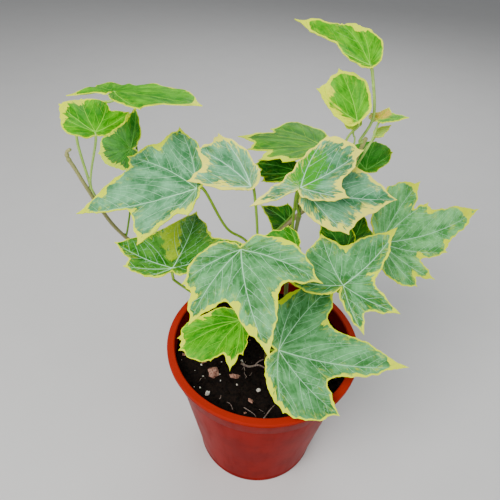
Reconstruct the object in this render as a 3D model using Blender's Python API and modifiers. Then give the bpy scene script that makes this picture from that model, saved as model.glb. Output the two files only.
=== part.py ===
import math

import bmesh
import bpy
from mathutils import Euler, Vector

# Potted ivy: a red plastic nursery pot full of dark potting mix, with five vines that
# carry twenty-five lobed leaves. Lengths below are in millimetres, angles in degrees.
# The origin is the middle of the pot's underside, +Z is up, the front of the pot is -Y.

MM = 0.001
GAP = 0.3                   # clearance left between pieces that touch

# Pot
POT_HEIGHT = 86.0
RIM_RADIUS = 50.0           # outside of the rolled rim
LIP_WIDTH = 4.0             # flat top of the rim
LIP_DEPTH = 2.4             # thickness of the rolled rim, top to bottom
COLLAR_HEIGHT = 13.0        # wider band under the rim
COLLAR_STEP = 1.4           # how far the band stands out from the tapered body
FOOT_RADIUS = 33.5          # outside of the body at the ground
WALL = 1.2
FLOOR_RISE = 2.0            # height of the drained part of the floor above the ground
FLOOR_THICKNESS = 1.5
FOOT_RING_WIDTH = 3.0
PAD_RADIUS = 12.0           # middle of the underside, level with the foot ring
DRAIN_HOLES = 8
DRAIN_RADIUS = 4.0
DRAIN_CIRCLE = 21.0
POT_SIDES = 48
SHARP_ANGLE = 35.0          # edges sharper than this stay crisp in smooth shading

# Potting mix
SOIL_DROP = 7.0             # soil surface below the top of the rim
SOIL_RELIEF = 1.2           # height of the humps in the surface
SOIL_SIDES = 40
SOCKET_DEPTH = 6.0          # how far each vine goes into the mix

# Leaves
BLADE_THICKNESS = 0.5
STALK_RADIUS = 0.7
BASE_LIP = 1.5              # blade carried this far behind its stalk
BLADE_RINGS = 2

SOIL_TOP = POT_HEIGHT - SOIL_DROP
HOLLOW_LEAN = 0.38          # hollows sit this far from the shorter lobe beside them
EDGE_BULGE = 0.07           # how far the edge from a hollow to a tip swells outward
HIP_ANGLE = 32.0            # hips stand this far round from the last lobe

# Each vine: radius at the foot, radius at the end, and the points it grows through, their
# heights counted from the soil.
VINES = {
    "vine_left": (1.3, 0.8, (
        (-13, 5, None), (-14, 8, 14), (-20, 16, 23), (-35, 24, 27), (-62, 35, 32), (-77, 31, 52),
        (-83, 21, 79), (-88, 20, 94), (-90, 20, 99), (-90, 20, 102), (-88, 19, 104))),
    "vine_right": (1.4, 0.8, (
        (-5, 11, None), (-4, 14, 36), (3, 18, 60), (14, 22, 73), (25, 26, 81),
        (34, 28, 90), (37, 26, 103), (39, 25, 112))),
    "vine_middle": (1.3, 0.9, (
        (12, 10, None), (10, 10, 46), (12, 10, 77), (12, 10, 86))),
    "vine_front": (1.3, 0.9, (
        (2, -8, None), (0, -8, 21), (-2, -8, 43), (-5, -9, 59))),
    "vine_side": (1.3, 0.9, (
        (19, 8, None), (22, 11, 26), (27, 14, 41), (33, 17, 52))),
}

# Each leaf: where the blade meets its stalk (height counted from the soil), the way the
# middle lobe points, how far that lobe climbs, the tilt about it, the sag and fold of the
# blade for its length, the vine and the share of the vine's length where the stalk starts.
# The blade is drawn from its lobes, each (angle from the middle lobe, length), the depth of
# the hollows between them as a share of the lobes beside them, and the width of the two
# hips beside the stalk. A hollow given as a pair also says how far it stands from the first
# of its two lobes to the second.
LEAVES = {
    "leaf_front_middle": dict(
        joint=(-13, -15, 80), heading=-75, pitch=-15, roll=10, sag=0.15, fold=0.10,
        vine="vine_front", share=0.85, colour=(0.16, 0.30, 0.22),
        lobes=((-70, 28), (-45, 38), (0, 46), (50, 36)),
        hollows=(0.80, 0.50, 0.50), hips=(0.60, 0.60)),
    "leaf_front_right": dict(
        joint=(6, -24, 28), heading=0, pitch=0, roll=35, sag=0.12, fold=0.05,
        vine="vine_front", share=0.22, colour=(0.14, 0.30, 0.18),
        lobes=((-85, 28), (-45, 40), (-5, 63), (50, 44), (70, 33)),
        hollows=(0.95, 0.43, 0.43, 0.78), hips=(0.50, 0.60)),
    "leaf_big_left": dict(
        joint=(-32, 0, 99), heading=170, pitch=-15, roll=-35, sag=0.12, fold=0.08,
        vine="vine_middle", share=0.50,
        via=((-20, 6, 75), (-10, 11, 63)), colour=(0.20, 0.33, 0.30),
        lobes=((-72, 31), (-29, 40), (3, 62), (41, 34), (74, 12)),
        hollows=(0.80, (0.66, 0.19), (0.61, 0.16), (0.57, 0.27)), hips=(0.45, 0.35)),
    "leaf_upper_middle": dict(
        joint=(-10, 0, 101), heading=155, pitch=25, roll=-30, sag=0.10, fold=0.10,
        vine="vine_right", share=0.28,
        via=((-6, 2, 73),), colour=(0.22, 0.35, 0.28),
        lobes=((-24, 27), (0, 28), (33, 26)),
        hollows=((0.88, 0.45), (0.75, 0.40)), hips=(0.48, 0.15)),
    "leaf_right": dict(
        joint=(32, -14, 61), heading=45, pitch=20, roll=20, sag=0.10, fold=0.08,
        vine="vine_side", share=0.95,
        via=((30, -5, 56),), colour=(0.16, 0.31, 0.22),
        lobes=((-118, 23), (-74, 27), (0, 42), (62, 26), (126, 26)),
        hollows=(0.52, 0.32, 0.50, 0.80), hips=(0.40, 0.60)),
    "leaf_far_right": dict(
        joint=(56, 22, 57), heading=30, pitch=5, roll=50, sag=0.10, fold=0.05,
        vine="vine_side", share=0.88, colour=(0.17, 0.33, 0.25),
        lobes=((-85, 23), (-67, 31), (-50, 39), (-27, 43), (-5, 74), (14, 38), (30, 42)),
        hollows=(0.95, 0.72, 0.55, 0.72, 0.64, 0.64), hips=(0.55, 0.68)),
    "leaf_low_left": dict(
        joint=(-43, -8, 62), heading=80, pitch=10, roll=-10, sag=0.08, fold=0.08,
        vine="vine_left", share=0.12,
        via=((-40, -7, 51),), colour=(0.16, 0.33, 0.12),
        lobes=((-63, 37), (0, 39), (67, 38), (91, 24), (118, 13)),
        hollows=(0.58, 0.62, 0.68, 0.75), hips=(0.35, 0.45)),
    "leaf_cream_lower": dict(
        joint=(13, 5, 97), heading=5, pitch=0, roll=35, sag=0.12, fold=0.05,
        vine="vine_middle", share=0.95, colour=(0.45, 0.52, 0.38),
        lobes=((-49, 26), (-4, 41), (40, 22)),
        hollows=(0.72, 0.82), hips=(0.55, 0.50)),
    "leaf_cream_upper": dict(
        joint=(10, -1, 102), heading=35, pitch=25, roll=20, sag=0.15, fold=0.15,
        vine="vine_middle", share=0.78, colour=(0.38, 0.48, 0.25),
        lobes=((-56, 20), (-5, 33), (24, 28), (158, 22)),
        hollows=(0.58, 0.95, 0.25), hips=(0.45, 0.40)),
    "leaf_low_front": dict(
        joint=(-12, -12, 34), heading=-120, pitch=-15, roll=0, sag=0.10, fold=0.08,
        vine="vine_front", share=0.38, colour=(0.12, 0.38, 0.03),
        lobes=((-71, 19), (-46, 31), (-35, 32), (-5, 24), (19, 25), (34, 18)),
        hollows=(1.00, 0.92, 0.98, 0.70, 0.76), hips=(0.55, 0.40)),
    "leaf_left_bright": dict(
        joint=(-71, 4.4, 120), heading=115, pitch=28, roll=10, sag=0.10, fold=0.10,
        vine="vine_left", share=0.80, colour=(0.22, 0.50, 0.02),
        lobes=((-60, 19), (-29, 18), (3, 18), (35, 18), (55, 14)),
        hollows=(0.68, 0.94, 0.93, 0.90), hips=(0.40, 0.80)),
    "leaf_left_long": dict(
        joint=(-67, 25, 128), heading=54, pitch=-4, roll=-11, sag=0.10, fold=0.03,
        vine="vine_left", share=0.86, via=((-82, 25, 121), (-86, 24, 107)),
        colour=(0.18, 0.48, 0.02),
        lobes=((-114, 32), (-83, 43), (-49, 27), (68, 27), (116, 22)),
        hollows=((0.86, 0.50), 0.80, (0.36, 0.55), (0.62, 0.50)), hips=(0.35, 0.30)),
    "leaf_left_curled": dict(
        joint=(-67, 38, 95), heading=-174, pitch=-7, roll=-50, sag=0.10, fold=0.10,
        vine="vine_left", share=0.62, colour=(0.18, 0.42, 0.06),
        lobes=((-104, 21), (-52, 13.5), (1, 15.5), (47, 11.5), (95, 9)),
        hollows=((0.67, 0.40), 0.92, 0.93, 0.98), hips=(0.40, 0.80)),
    "leaf_top_shadow": dict(
        joint=(21, 32, 104), heading=175, pitch=0, roll=0, sag=0.12, fold=0.05,
        vine="vine_right", share=0.68, colour=(0.10, 0.30, 0.06),
        lobes=((-35, 29), (-14, 40), (5, 33), (29, 31), (44, 23)),
        hollows=(0.66, 0.80, 0.74, 0.80), hips=(0.80, 0.55)),
    "leaf_back_dark": dict(
        joint=(11, 26, 93), heading=180, pitch=0, roll=-20, sag=0.10, fold=0.05,
        vine="vine_right", share=0.52, colour=(0.06, 0.20, 0.05),
        lobes=((-16, 20), (1, 19), (18, 17), (30, 12)),
        hollows=(0.80, 0.82, 0.90), hips=(0.80, 0.50)),
    "leaf_crown": dict(
        joint=(34, 22, 144), heading=140, pitch=25, roll=-30, sag=0.12, fold=0.10,
        vine="vine_right", share=0.985, colour=(0.25, 0.50, 0.03),
        lobes=((-32, 18), (-15, 22), (8, 37), (33, 8)),
        hollows=(0.98, 0.80, (0.66, 0.03)), hips=(0.70, 0.35)),
    "leaf_yellow_upper": dict(
        joint=(32, 18, 123), heading=150, pitch=40, roll=-45, sag=0.08, fold=0.08,
        vine="vine_right", share=0.76,
        via=((30, 23, 111),), colour=(0.35, 0.55, 0.03),
        lobes=((-19, 22), (13, 21), (86, 4)),
        hollows=(0.88, 0.50), hips=(0.75, 0.60)),
    "leaf_new_side": dict(
        joint=(43, 24, 121), heading=0, pitch=25, roll=0, sag=0.10, fold=0.10,
        vine="vine_right", share=0.86, via=((40, 21, 111),),
        colour=(0.50, 0.50, 0.05),
        lobes=((-27, 12), (52, 9), (107, 9)),
        hollows=(0.50, 0.60), hips=(0.50, 0.60)),
    "leaf_new_small": dict(
        joint=(33, 25, 117), heading=100, pitch=50, roll=-10, sag=0.10, fold=0.20,
        vine="vine_right", share=0.80,
        via=((34, 24, 109),), colour=(0.45, 0.55, 0.20),
        lobes=((-60, 4), (0, 6), (60, 5)), hollows=(0.75, 0.75), hips=(0.70, 0.70)),
    "leaf_behind_right": dict(
        joint=(45, 36, 90), heading=45, pitch=35, roll=0, sag=0.10, fold=0.05,
        vine="vine_right", share=0.76, colour=(0.10, 0.33, 0.08),
        lobes=((-20, 15), (20, 17), (62, 17)), hollows=(0.98, 0.98), hips=(0.55, 0.75)),
    "leaf_inner_right": dict(
        joint=(35, 8, 61), heading=140, pitch=40, roll=-20, sag=0.10, fold=0.05,
        vine="vine_side", share=0.76, colour=(0.05, 0.22, 0.03),
        lobes=((-55, 14), (0, 19), (60, 13)), hollows=(0.75, 0.72), hips=(0.55, 0.55)),
    "leaf_inner_side": dict(
        joint=(40, 16, 62), heading=60, pitch=45, roll=0, sag=0.10, fold=0.05,
        vine="vine_side", share=0.985, colour=(0.06, 0.25, 0.04),
        lobes=((-50, 11), (0, 15), (55, 12)), hollows=(0.75, 0.75), hips=(0.55, 0.55)),
    "leaf_inner_left": dict(
        joint=(11, -2, 73), heading=170, pitch=10, roll=-25, sag=0.10, fold=0.10,
        vine="vine_middle", share=0.58,
        via=((10, 3, 64),), colour=(0.15, 0.42, 0.03),
        lobes=((-55, 10), (0, 16), (60, 9)), hollows=(0.72, 0.65), hips=(0.55, 0.55)),
    "leaf_inner_back": dict(
        joint=(10, 28, 62), heading=155, pitch=25, roll=-20, sag=0.10, fold=0.10,
        vine="vine_right", share=0.40, colour=(0.06, 0.22, 0.04),
        lobes=((-55, 12), (0, 17), (60, 10)), hollows=(0.66, 0.66), hips=(0.55, 0.55)),
    "leaf_bud": dict(
        joint=(43, 26, 113), heading=20, pitch=30, roll=10, sag=0.05, fold=0.25,
        vine="vine_right", share=0.95, colour=(0.50, 0.60, 0.25),
        lobes=((-60, 4), (0, 8), (60, 3)), hollows=(0.65, 0.65), hips=(0.60, 0.60)),
}

# Loose matter on the soil: place on the surface, length, width, height, turn and colour.
CHIPS = {
    "bark_chip_large": (-25, -17, 6.0, 5.0, 3.5, 20, (0.55, 0.28, 0.18)),
    "bark_chip_pale": (-30, -9, 4.5, 3.6, 3.0, 60, (0.60, 0.38, 0.32)),
    "bark_chip_long": (-14, -19, 6.0, 2.5, 2.0, 65, (0.40, 0.17, 0.12)),
    "bark_chip_left": (-37, -4, 4.0, 3.0, 2.4, 10, (0.48, 0.26, 0.20)),
    "perlite_large": (-27, -29, 3.0, 2.8, 2.6, 35, (0.80, 0.78, 0.70)),
    "perlite_small": (-2, -26, 2.2, 2.0, 1.8, 80, (0.82, 0.80, 0.72)),
}
TWIG = ((-11, -12), (-7, -13.5), (-2, -13), (2, -15))
TWIG_RADIUS = 0.7


def clear_scene():
    for old in list(bpy.data.objects):
        bpy.data.objects.remove(old, do_unlink=True)


def new_collection(name):
    made = bpy.data.collections.new(name)
    bpy.context.scene.collection.children.link(made)
    return made


def material(name, colour, roughness, metallic=0.0):
    made = bpy.data.materials.new(name)
    made.use_nodes = True
    shader = made.node_tree.nodes["Principled BSDF"]
    shader.inputs["Base Color"].default_value = (*colour, 1.0)
    shader.inputs["Roughness"].default_value = roughness
    shader.inputs["Metallic"].default_value = metallic
    return made


def add_object(name, data, home, finish=None):
    made = bpy.data.objects.new(name, data)
    home.objects.link(made)
    if finish is not None:
        data.materials.append(finish)
    return made


def turned(name, profile, sides, home, finish):
    """A solid of revolution from (radius, height) pairs that run down the outside."""
    data = bpy.data.meshes.new(name)
    points = [(r * MM, 0.0, z * MM) for r, z in profile]
    edges = [(i, i + 1) for i in range(len(points) - 1)]
    data.from_pydata(points, edges, [])
    made = add_object(name, data, home, finish)
    screw = made.modifiers.new("Turn", "SCREW")
    screw.axis = "Z"
    screw.steps = sides
    screw.render_steps = sides
    screw.use_merge_vertices = True
    screw.merge_threshold = 0.00001
    screw.use_smooth_shade = False
    return made


def cylinder(name, radius, low, high, place, home, sides=16):
    data = bpy.data.meshes.new(name)
    shape = bmesh.new()
    bmesh.ops.create_cone(shape, cap_ends=True, segments=sides, radius1=radius * MM,
                          radius2=radius * MM, depth=(high - low) * MM)
    shape.to_mesh(data)
    shape.free()
    made = add_object(name, data, home)
    made.location = (place[0] * MM, place[1] * MM, (low + high) / 2 * MM)
    return made


def as_cutter(helper):
    helper.hide_render = True
    helper.display_type = "WIRE"


def cut(target, helper, operation="DIFFERENCE"):
    step = target.modifiers.new("Cut " + helper.name, "BOOLEAN")
    step.operation = operation
    step.solver = "EXACT"
    step.object = helper


def settle(piece):
    """Fix the modifiers into the mesh and shade it smooth between its sharp edges."""
    bpy.context.view_layer.update()
    ready = piece.evaluated_get(bpy.context.evaluated_depsgraph_get())
    data = bpy.data.meshes.new_from_object(ready)
    piece.modifiers.clear()
    piece.data = data
    data.shade_smooth()
    data.set_sharp_from_angle(angle=math.radians(SHARP_ANGLE))


# ---------------------------------------------------------------- pot

def outer_radius(z):
    """Outside of the tapered body at a height."""
    top = RIM_RADIUS - 1.0 - COLLAR_STEP
    return FOOT_RADIUS + (top - FOOT_RADIUS) * z / POT_HEIGHT


def build_pot(home, cutters):
    step = POT_HEIGHT - COLLAR_HEIGHT
    floor_top = FLOOR_RISE + FLOOR_THICKNESS
    lip_bottom = POT_HEIGHT - LIP_DEPTH
    inner = FOOT_RADIUS - FOOT_RING_WIDTH
    profile = [
        (RIM_RADIUS - LIP_WIDTH, POT_HEIGHT - 0.5),
        (RIM_RADIUS - LIP_WIDTH + 0.6, POT_HEIGHT),
        (RIM_RADIUS - 0.7, POT_HEIGHT),
        (RIM_RADIUS, POT_HEIGHT - 0.8),
        (RIM_RADIUS, lip_bottom + 0.5),
        (RIM_RADIUS - 0.6, lip_bottom),
        (outer_radius(lip_bottom) + COLLAR_STEP - 0.4, lip_bottom - 0.3),
        (outer_radius(step) + COLLAR_STEP, step + 0.4),
        (outer_radius(step) + COLLAR_STEP - 0.4, step),
        (outer_radius(step), step - 0.3),
        (outer_radius(3.5), 3.5),
        (FOOT_RADIUS + 0.6, 2.4),
        (FOOT_RADIUS + 0.6, 0.6),
        (FOOT_RADIUS, 0.0),
        (inner, 0.0),
        (inner - 0.4, FLOOR_RISE),
        (PAD_RADIUS + 0.4, FLOOR_RISE),
        (PAD_RADIUS, 0.0),
        (0.0, 0.0),
    ]
    inside = [
        (0.0, floor_top),
        (outer_radius(floor_top) - WALL, floor_top),
        (outer_radius(step) - WALL, step + 0.6),
        (outer_radius(step) + COLLAR_STEP - WALL, step + 1.6),
        (outer_radius(lip_bottom) + COLLAR_STEP - 0.4 - WALL, POT_HEIGHT - 1.2),
        (RIM_RADIUS - LIP_WIDTH, POT_HEIGHT - 0.5),
    ]
    pot = turned("pot", profile + inside, POT_SIDES, home,
                 material("red_plastic", (0.62, 0.05, 0.02), 0.35))
    for index in range(DRAIN_HOLES):
        angle = math.tau * (index + 0.5) / DRAIN_HOLES
        place = (DRAIN_CIRCLE * math.cos(angle), DRAIN_CIRCLE * math.sin(angle))
        hole = cylinder(f"drain_{index}", DRAIN_RADIUS, FLOOR_RISE - 1.0, floor_top + 1.0,
                        place, cutters, 12)
        as_cutter(hole)
        cut(pot, hole)
    settle(pot)


# ---------------------------------------------------------------- soil

def soil_height(x, y):
    """Height of the potting mix at a place, humped and a little lower at the wall."""
    humps = (math.sin(x / 7.0 + 1.0) * math.cos(y / 9.0)
             + 0.6 * math.sin((x + y) / 5.0) * math.cos((x - y) / 6.0 + 0.7))
    return SOIL_TOP + SOIL_RELIEF * 0.6 * humps - 0.0012 * (x * x + y * y)


def inner_radius(z):
    """Inside of the pot wall at a height."""
    step = POT_HEIGHT - COLLAR_HEIGHT
    if z <= step:
        return outer_radius(z) - WALL
    return outer_radius(step) - WALL + 0.2


def build_soil(home, cutters):
    floor_top = FLOOR_RISE + FLOOR_THICKNESS + GAP
    data = bpy.data.meshes.new("soil")
    shape = bmesh.new()
    radius_top = inner_radius(SOIL_TOP) - GAP
    shares = (0.25, 0.5, 0.75, 1.0)
    centre = shape.verts.new((0, 0, soil_height(0, 0) * MM))
    rings = []
    for share in shares:
        ring = []
        for index in range(SOIL_SIDES):
            angle = math.tau * index / SOIL_SIDES
            x = radius_top * share * math.cos(angle)
            y = radius_top * share * math.sin(angle)
            ring.append(shape.verts.new((x * MM, y * MM, soil_height(x, y) * MM)))
        rings.append(ring)
    low_radius = inner_radius(floor_top) - GAP - 0.1
    base = []
    for index in range(SOIL_SIDES):
        angle = math.tau * index / SOIL_SIDES
        base.append(shape.verts.new((low_radius * MM * math.cos(angle),
                                     low_radius * MM * math.sin(angle), floor_top * MM)))
    rings.append(base)
    for index in range(SOIL_SIDES):
        after = (index + 1) % SOIL_SIDES
        shape.faces.new((centre, rings[0][index], rings[0][after]))
        for lower, upper in zip(rings[1:], rings[:-1]):
            shape.faces.new((upper[index], lower[index], lower[after], upper[after]))
    shape.faces.new(tuple(reversed(base)))
    bmesh.ops.recalc_face_normals(shape, faces=shape.faces)
    shape.to_mesh(data)
    shape.free()
    soil = add_object("soil", data, home, material("potting_mix", (0.03, 0.02, 0.015), 0.95))
    for name, (foot, _, points) in VINES.items():
        low = SOIL_TOP - SOCKET_DEPTH
        socket = cylinder("socket_" + name, foot + GAP, low, POT_HEIGHT, points[0], cutters, 12)
        as_cutter(socket)
        cut(soil, socket)


def build_chips(home):
    for name, (x, y, long, wide, high, turn, colour) in CHIPS.items():
        data = bpy.data.meshes.new(name)
        shape = bmesh.new()
        bmesh.ops.create_icosphere(shape, subdivisions=1, radius=1.0)
        for vertex in shape.verts:
            squeeze = 1.0 + 0.16 * math.sin(5.0 * vertex.co.x + 3.0 * vertex.co.y + turn)
            vertex.co = Vector((vertex.co.x * long * squeeze, vertex.co.y * wide / squeeze,
                                vertex.co.z * high)) * (MM / 2)
        shape.to_mesh(data)
        shape.free()
        chip = add_object(name, data, home, material(name + "_matter", colour, 0.85))
        reach = long / 2
        ground = max(soil_height(x + reach * i, y + reach * j)
                     for i in (-1, 0, 1) for j in (-1, 0, 1))
        chip.location = (x * MM, y * MM, (ground + high / 2 + GAP) * MM)
        chip.rotation_euler = (0, 0, math.radians(turn))


# ---------------------------------------------------------------- vines

def above_soil(point):
    """A place whose height is counted from the soil, as a height above the ground."""
    return Vector((point[0], point[1], SOIL_TOP + point[2]))


def smooth_path(points, steps):
    """Points along a rounded line that passes through every given point."""
    ends = [points[0] * 2 - points[1], *points, points[-1] * 2 - points[-2]]
    path = []
    for a, b, c, d in zip(ends, ends[1:], ends[2:], ends[3:]):
        for index in range(steps):
            t = index / steps
            path.append(0.5 * (2 * b + (c - a) * t + (2 * a - 5 * b + 4 * c - d) * t * t
                               + (3 * b - a - 3 * c + d) * t ** 3))
    path.append(points[-1])
    return path


def tube(name, path, radii, home, finish, sides=2):
    """A round rod along a path of points in millimetres, closed at both ends."""
    data = bpy.data.curves.new(name, "CURVE")
    data.dimensions = "3D"
    data.bevel_depth = MM
    data.bevel_resolution = sides
    data.use_fill_caps = True
    line = data.splines.new("POLY")
    line.points.add(len(path) - 1)
    for target, place, radius in zip(line.points, path, radii):
        target.co = (place.x * MM, place.y * MM, place.z * MM, 1.0)
        target.radius = radius
    return add_object(name, data, home, finish)


def vine_points(name):
    points = VINES[name][2]
    foot = SOIL_TOP - SOCKET_DEPTH + GAP
    first = Vector((points[0][0], points[0][1], foot))
    straight = Vector((points[0][0], points[0][1], SOIL_TOP + 4.0))
    rest = [above_soil(point) for point in points[1:]]
    return smooth_path([first, straight, *rest], 4)


def vine_radius(name, share):
    foot, end, _ = VINES[name]
    return foot + (end - foot) * share


def vine_at(name, share):
    """Place and direction on a vine at a share of its length."""
    path = vine_points(name)
    lengths = [0.0]
    for before, after in zip(path, path[1:]):
        lengths.append(lengths[-1] + (after - before).length)
    wanted = share * lengths[-1]
    for index in range(len(path) - 1):
        if lengths[index + 1] >= wanted:
            part = (wanted - lengths[index]) / (lengths[index + 1] - lengths[index])
            along = path[index + 1] - path[index]
            return path[index] + along * part, along.normalized()
    return path[-1], (path[-1] - path[-2]).normalized()


def build_vines(home):
    bark = material("vine_bark", (0.20, 0.13, 0.05), 0.7)
    for name in VINES:
        path = vine_points(name)
        radii = [vine_radius(name, index / (len(path) - 1)) for index in range(len(path))]
        tube(name, path, radii, home, bark)


# ---------------------------------------------------------------- leaves

def blade_corners(leaf):
    """Lobe tips and hollows in order of angle, each (angle, reach, is a tip)."""
    lobes = leaf["lobes"]
    corners = []
    for (angle, reach), (next_angle, next_reach), hollow in zip(lobes, lobes[1:],
                                                                leaf["hollows"]):
        corners.append((angle, reach, True))
        lean = HOLLOW_LEAN if reach < next_reach else 1.0 - HOLLOW_LEAN
        depth, lean = hollow if isinstance(hollow, tuple) else (hollow, lean)
        corners.append((angle + (next_angle - angle) * lean,
                        (reach + next_reach) / 2 * depth, False))
    corners.append((*lobes[-1], True))
    right, left = leaf["hips"]
    first, last = corners[0], corners[-1]
    for turn, part, share in ((1.0, 0.4, 1.0), (2.2, 0.8, 0.5)):
        step = min(HIP_ANGLE * turn, (180.0 + first[0]) * part)
        corners.insert(0, (first[0] - step, first[1] * right * share, False))
        step = min(HIP_ANGLE * turn, (180.0 - last[0]) * part)
        corners.append((last[0] + step, last[1] * left * share, False))
    return corners


def blade_outline(leaf):
    """Outline in the blade's own plane, edges rounded and lobe tips kept sharp."""
    spots = [(Vector((-BASE_LIP, 0.0)), True)]
    for angle, reach, tip in blade_corners(leaf):
        turn = math.radians(angle)
        spots.append((Vector((reach * math.cos(turn), reach * math.sin(turn))), tip))
    line = []
    for (here, tip), (after, next_tip) in zip(spots, spots[1:] + spots[:1]):
        line.append((here, tip))
        edge = after - here
        swell = EDGE_BULGE if tip != next_tip else 0.0
        line.append(((here + after) / 2 + Vector((edge.y, -edge.x)) * swell, False))
    rounded = []
    for index, (here, tip) in enumerate(line):
        if tip:
            rounded.append(here)
            continue
        before = line[index - 1][0]
        after = line[(index + 1) % len(line)][0]
        rounded.append(here * 0.7 + (before + after) * 0.15)
    return rounded


def blade_height(x, y, leaf):
    """Sag away from the stalk plus a shallow fold along the middle lobe."""
    length = max(reach for _, reach in leaf["lobes"])
    crease = 0.1 * length
    sag = leaf["sag"] * (x * x + y * y) / length
    return leaf["fold"] * (math.sqrt(y * y + crease * crease) - crease) - sag


def leaf_turn(leaf):
    return Euler((math.radians(leaf["roll"]), -math.radians(leaf["pitch"]),
                  math.radians(leaf["heading"])), "XYZ")


def stalk_path(leaf):
    """Curve from inside the blade, down and back, to the side of its vine."""
    joint = above_soil(leaf["joint"])
    leave = leaf_turn(leaf).to_matrix() @ Vector((-0.6, 0.0, -0.8))
    on_vine, along = vine_at(leaf["vine"], leaf["share"])
    via = [above_soil(point) for point in leaf.get("via", ())]
    toward = (via[-1] if via else joint) - on_vine
    side = (toward - along * toward.dot(along)).normalized()
    end = on_vine + side * (vine_radius(leaf["vine"], leaf["share"]) + GAP)
    reach = (joint - end).length
    neck = joint + leave * min(4.0, reach * 0.3)
    foot = end + side * min(1.5, reach * 0.15)
    if not via:
        via = [neck * 0.5 + foot * 0.5 + (leave - side) * reach * 0.08]
    return [joint, *smooth_path([neck, *via, foot], 3), end]


def solid_tube(name, path, radii, home):
    """The same rod as a closed mesh, for joining to a blade."""
    rod = tube(name + "_line", path, radii, home, None, 1)
    bpy.context.view_layer.update()
    ready = rod.evaluated_get(bpy.context.evaluated_depsgraph_get())
    data = bpy.data.meshes.new_from_object(ready)
    shape = bmesh.new()
    shape.from_mesh(data)
    bmesh.ops.remove_doubles(shape, verts=shape.verts, dist=0.00001)
    bmesh.ops.recalc_face_normals(shape, faces=shape.faces)
    shape.to_mesh(data)
    shape.free()
    made = add_object(name, data, home)
    made.matrix_world = rod.matrix_world.copy()
    bpy.data.objects.remove(rod, do_unlink=True)
    return made


def build_leaf(name, leaf, home, cutters):
    outline = blade_outline(leaf)
    data = bpy.data.meshes.new(name)
    shape = bmesh.new()
    middle = shape.verts.new((0.0, 0.0, 0.0))
    rings = []
    for step in range(1, BLADE_RINGS + 1):
        share = step / BLADE_RINGS
        ring = []
        for spot in outline:
            x, y = spot * share
            ring.append(shape.verts.new((x * MM, y * MM, blade_height(x, y, leaf) * MM)))
        rings.append(ring)
    for index in range(len(outline)):
        after = (index + 1) % len(outline)
        shape.faces.new((middle, rings[0][index], rings[0][after]))
        for inner, outer in zip(rings, rings[1:]):
            shape.faces.new((inner[index], outer[index], outer[after], inner[after]))
    shape.to_mesh(data)
    shape.free()
    made = add_object(name, data, home, material(name + "_green", leaf["colour"], 0.5))
    made.location = above_soil(leaf["joint"]) * MM
    made.rotation_euler = leaf_turn(leaf)
    shell = made.modifiers.new("Thickness", "SOLIDIFY")
    shell.thickness = BLADE_THICKNESS * MM
    shell.offset = 0.0
    path = stalk_path(leaf)
    stalk = solid_tube(name + "_stalk", path, [STALK_RADIUS] * len(path), cutters)
    as_cutter(stalk)
    cut(made, stalk, "UNION")
    settle(made)


# ---------------------------------------------------------------- assembly

clear_scene()
plant = new_collection("potted_ivy")
helpers = new_collection("cutters")
build_pot(plant, helpers)
build_soil(plant, helpers)
build_chips(plant)
build_vines(plant)
twig_line = smooth_path([Vector((x, y, soil_height(x, y) + TWIG_RADIUS + GAP + 0.8))
                         for x, y in TWIG], 3)
tube("twig", twig_line, [TWIG_RADIUS] * len(twig_line), plant,
     material("twig_bark", (0.35, 0.30, 0.28), 0.8), 1)
for leaf_name, leaf_sizes in LEAVES.items():
    build_leaf(leaf_name, leaf_sizes, plant, helpers)
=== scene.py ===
import math
import random

import bmesh
import bpy
import numpy as np
from mathutils import Euler, Matrix, Vector, noise
from mathutils.geometry import delaunay_2d_cdt


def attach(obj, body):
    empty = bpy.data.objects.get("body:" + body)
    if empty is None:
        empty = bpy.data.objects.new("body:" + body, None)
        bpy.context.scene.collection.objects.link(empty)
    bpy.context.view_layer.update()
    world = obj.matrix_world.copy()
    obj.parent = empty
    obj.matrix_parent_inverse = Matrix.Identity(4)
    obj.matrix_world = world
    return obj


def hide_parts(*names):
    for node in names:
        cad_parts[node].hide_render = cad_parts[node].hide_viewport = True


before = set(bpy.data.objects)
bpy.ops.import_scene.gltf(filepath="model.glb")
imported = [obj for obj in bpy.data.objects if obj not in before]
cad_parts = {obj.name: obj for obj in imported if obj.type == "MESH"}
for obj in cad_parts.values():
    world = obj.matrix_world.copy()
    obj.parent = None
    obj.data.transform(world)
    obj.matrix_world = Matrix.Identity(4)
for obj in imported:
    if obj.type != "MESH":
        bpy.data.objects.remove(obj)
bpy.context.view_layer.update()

# Potted ivy: a red nursery pot, dark potting mix and five vines with variegated leaves.
# Lengths in the dictionaries are millimetres and angles are degrees.
mm = 0.001
print("frame in place")


def addNode(tree, kind, plugs=None, **settings):
    made = tree.nodes.new(kind)
    for name, value in settings.items():
        setattr(made, name, value)
    for name, value in (plugs or {}).items():
        if isinstance(value, bpy.types.NodeSocket):
            tree.links.new(value, made.inputs[name])
        else:
            made.inputs[name].default_value = value
    return made


def calc(tree, operation, a, b):
    return addNode(tree, "ShaderNodeMath", {0: a, 1: b}, operation=operation).outputs[0]


def times(tree, a, b):
    return calc(tree, "MULTIPLY", a, b)


def plus(tree, *parts):
    total = parts[0]
    for part in parts[1:]:
        total = calc(tree, "ADD", total, part)
    return total


def around(tree, value):
    # a 0 to 1 texture value moved to lie evenly about zero
    return calc(tree, "SUBTRACT", value, 0.5)


def blendColour(tree, share, a, b):
    return addNode(tree, "ShaderNodeMix", {0: share, 6: a, 7: b}, data_type="RGBA").outputs[2]


def ramp(tree, value, low, high, start=0.0, end=1.0):
    return addNode(tree, "ShaderNodeMapRange", {0: value, 1: low, 2: high, 3: start, 4: end},
                   interpolation_type="SMOOTHSTEP").outputs[0]


def noiseOf(tree, place, scale, detail=2.0, rough=0.5):
    return addNode(tree, "ShaderNodeTexNoise", {"Vector": place, "Scale": scale, "Detail": detail,
                                                "Roughness": rough}).outputs[0]


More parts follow.
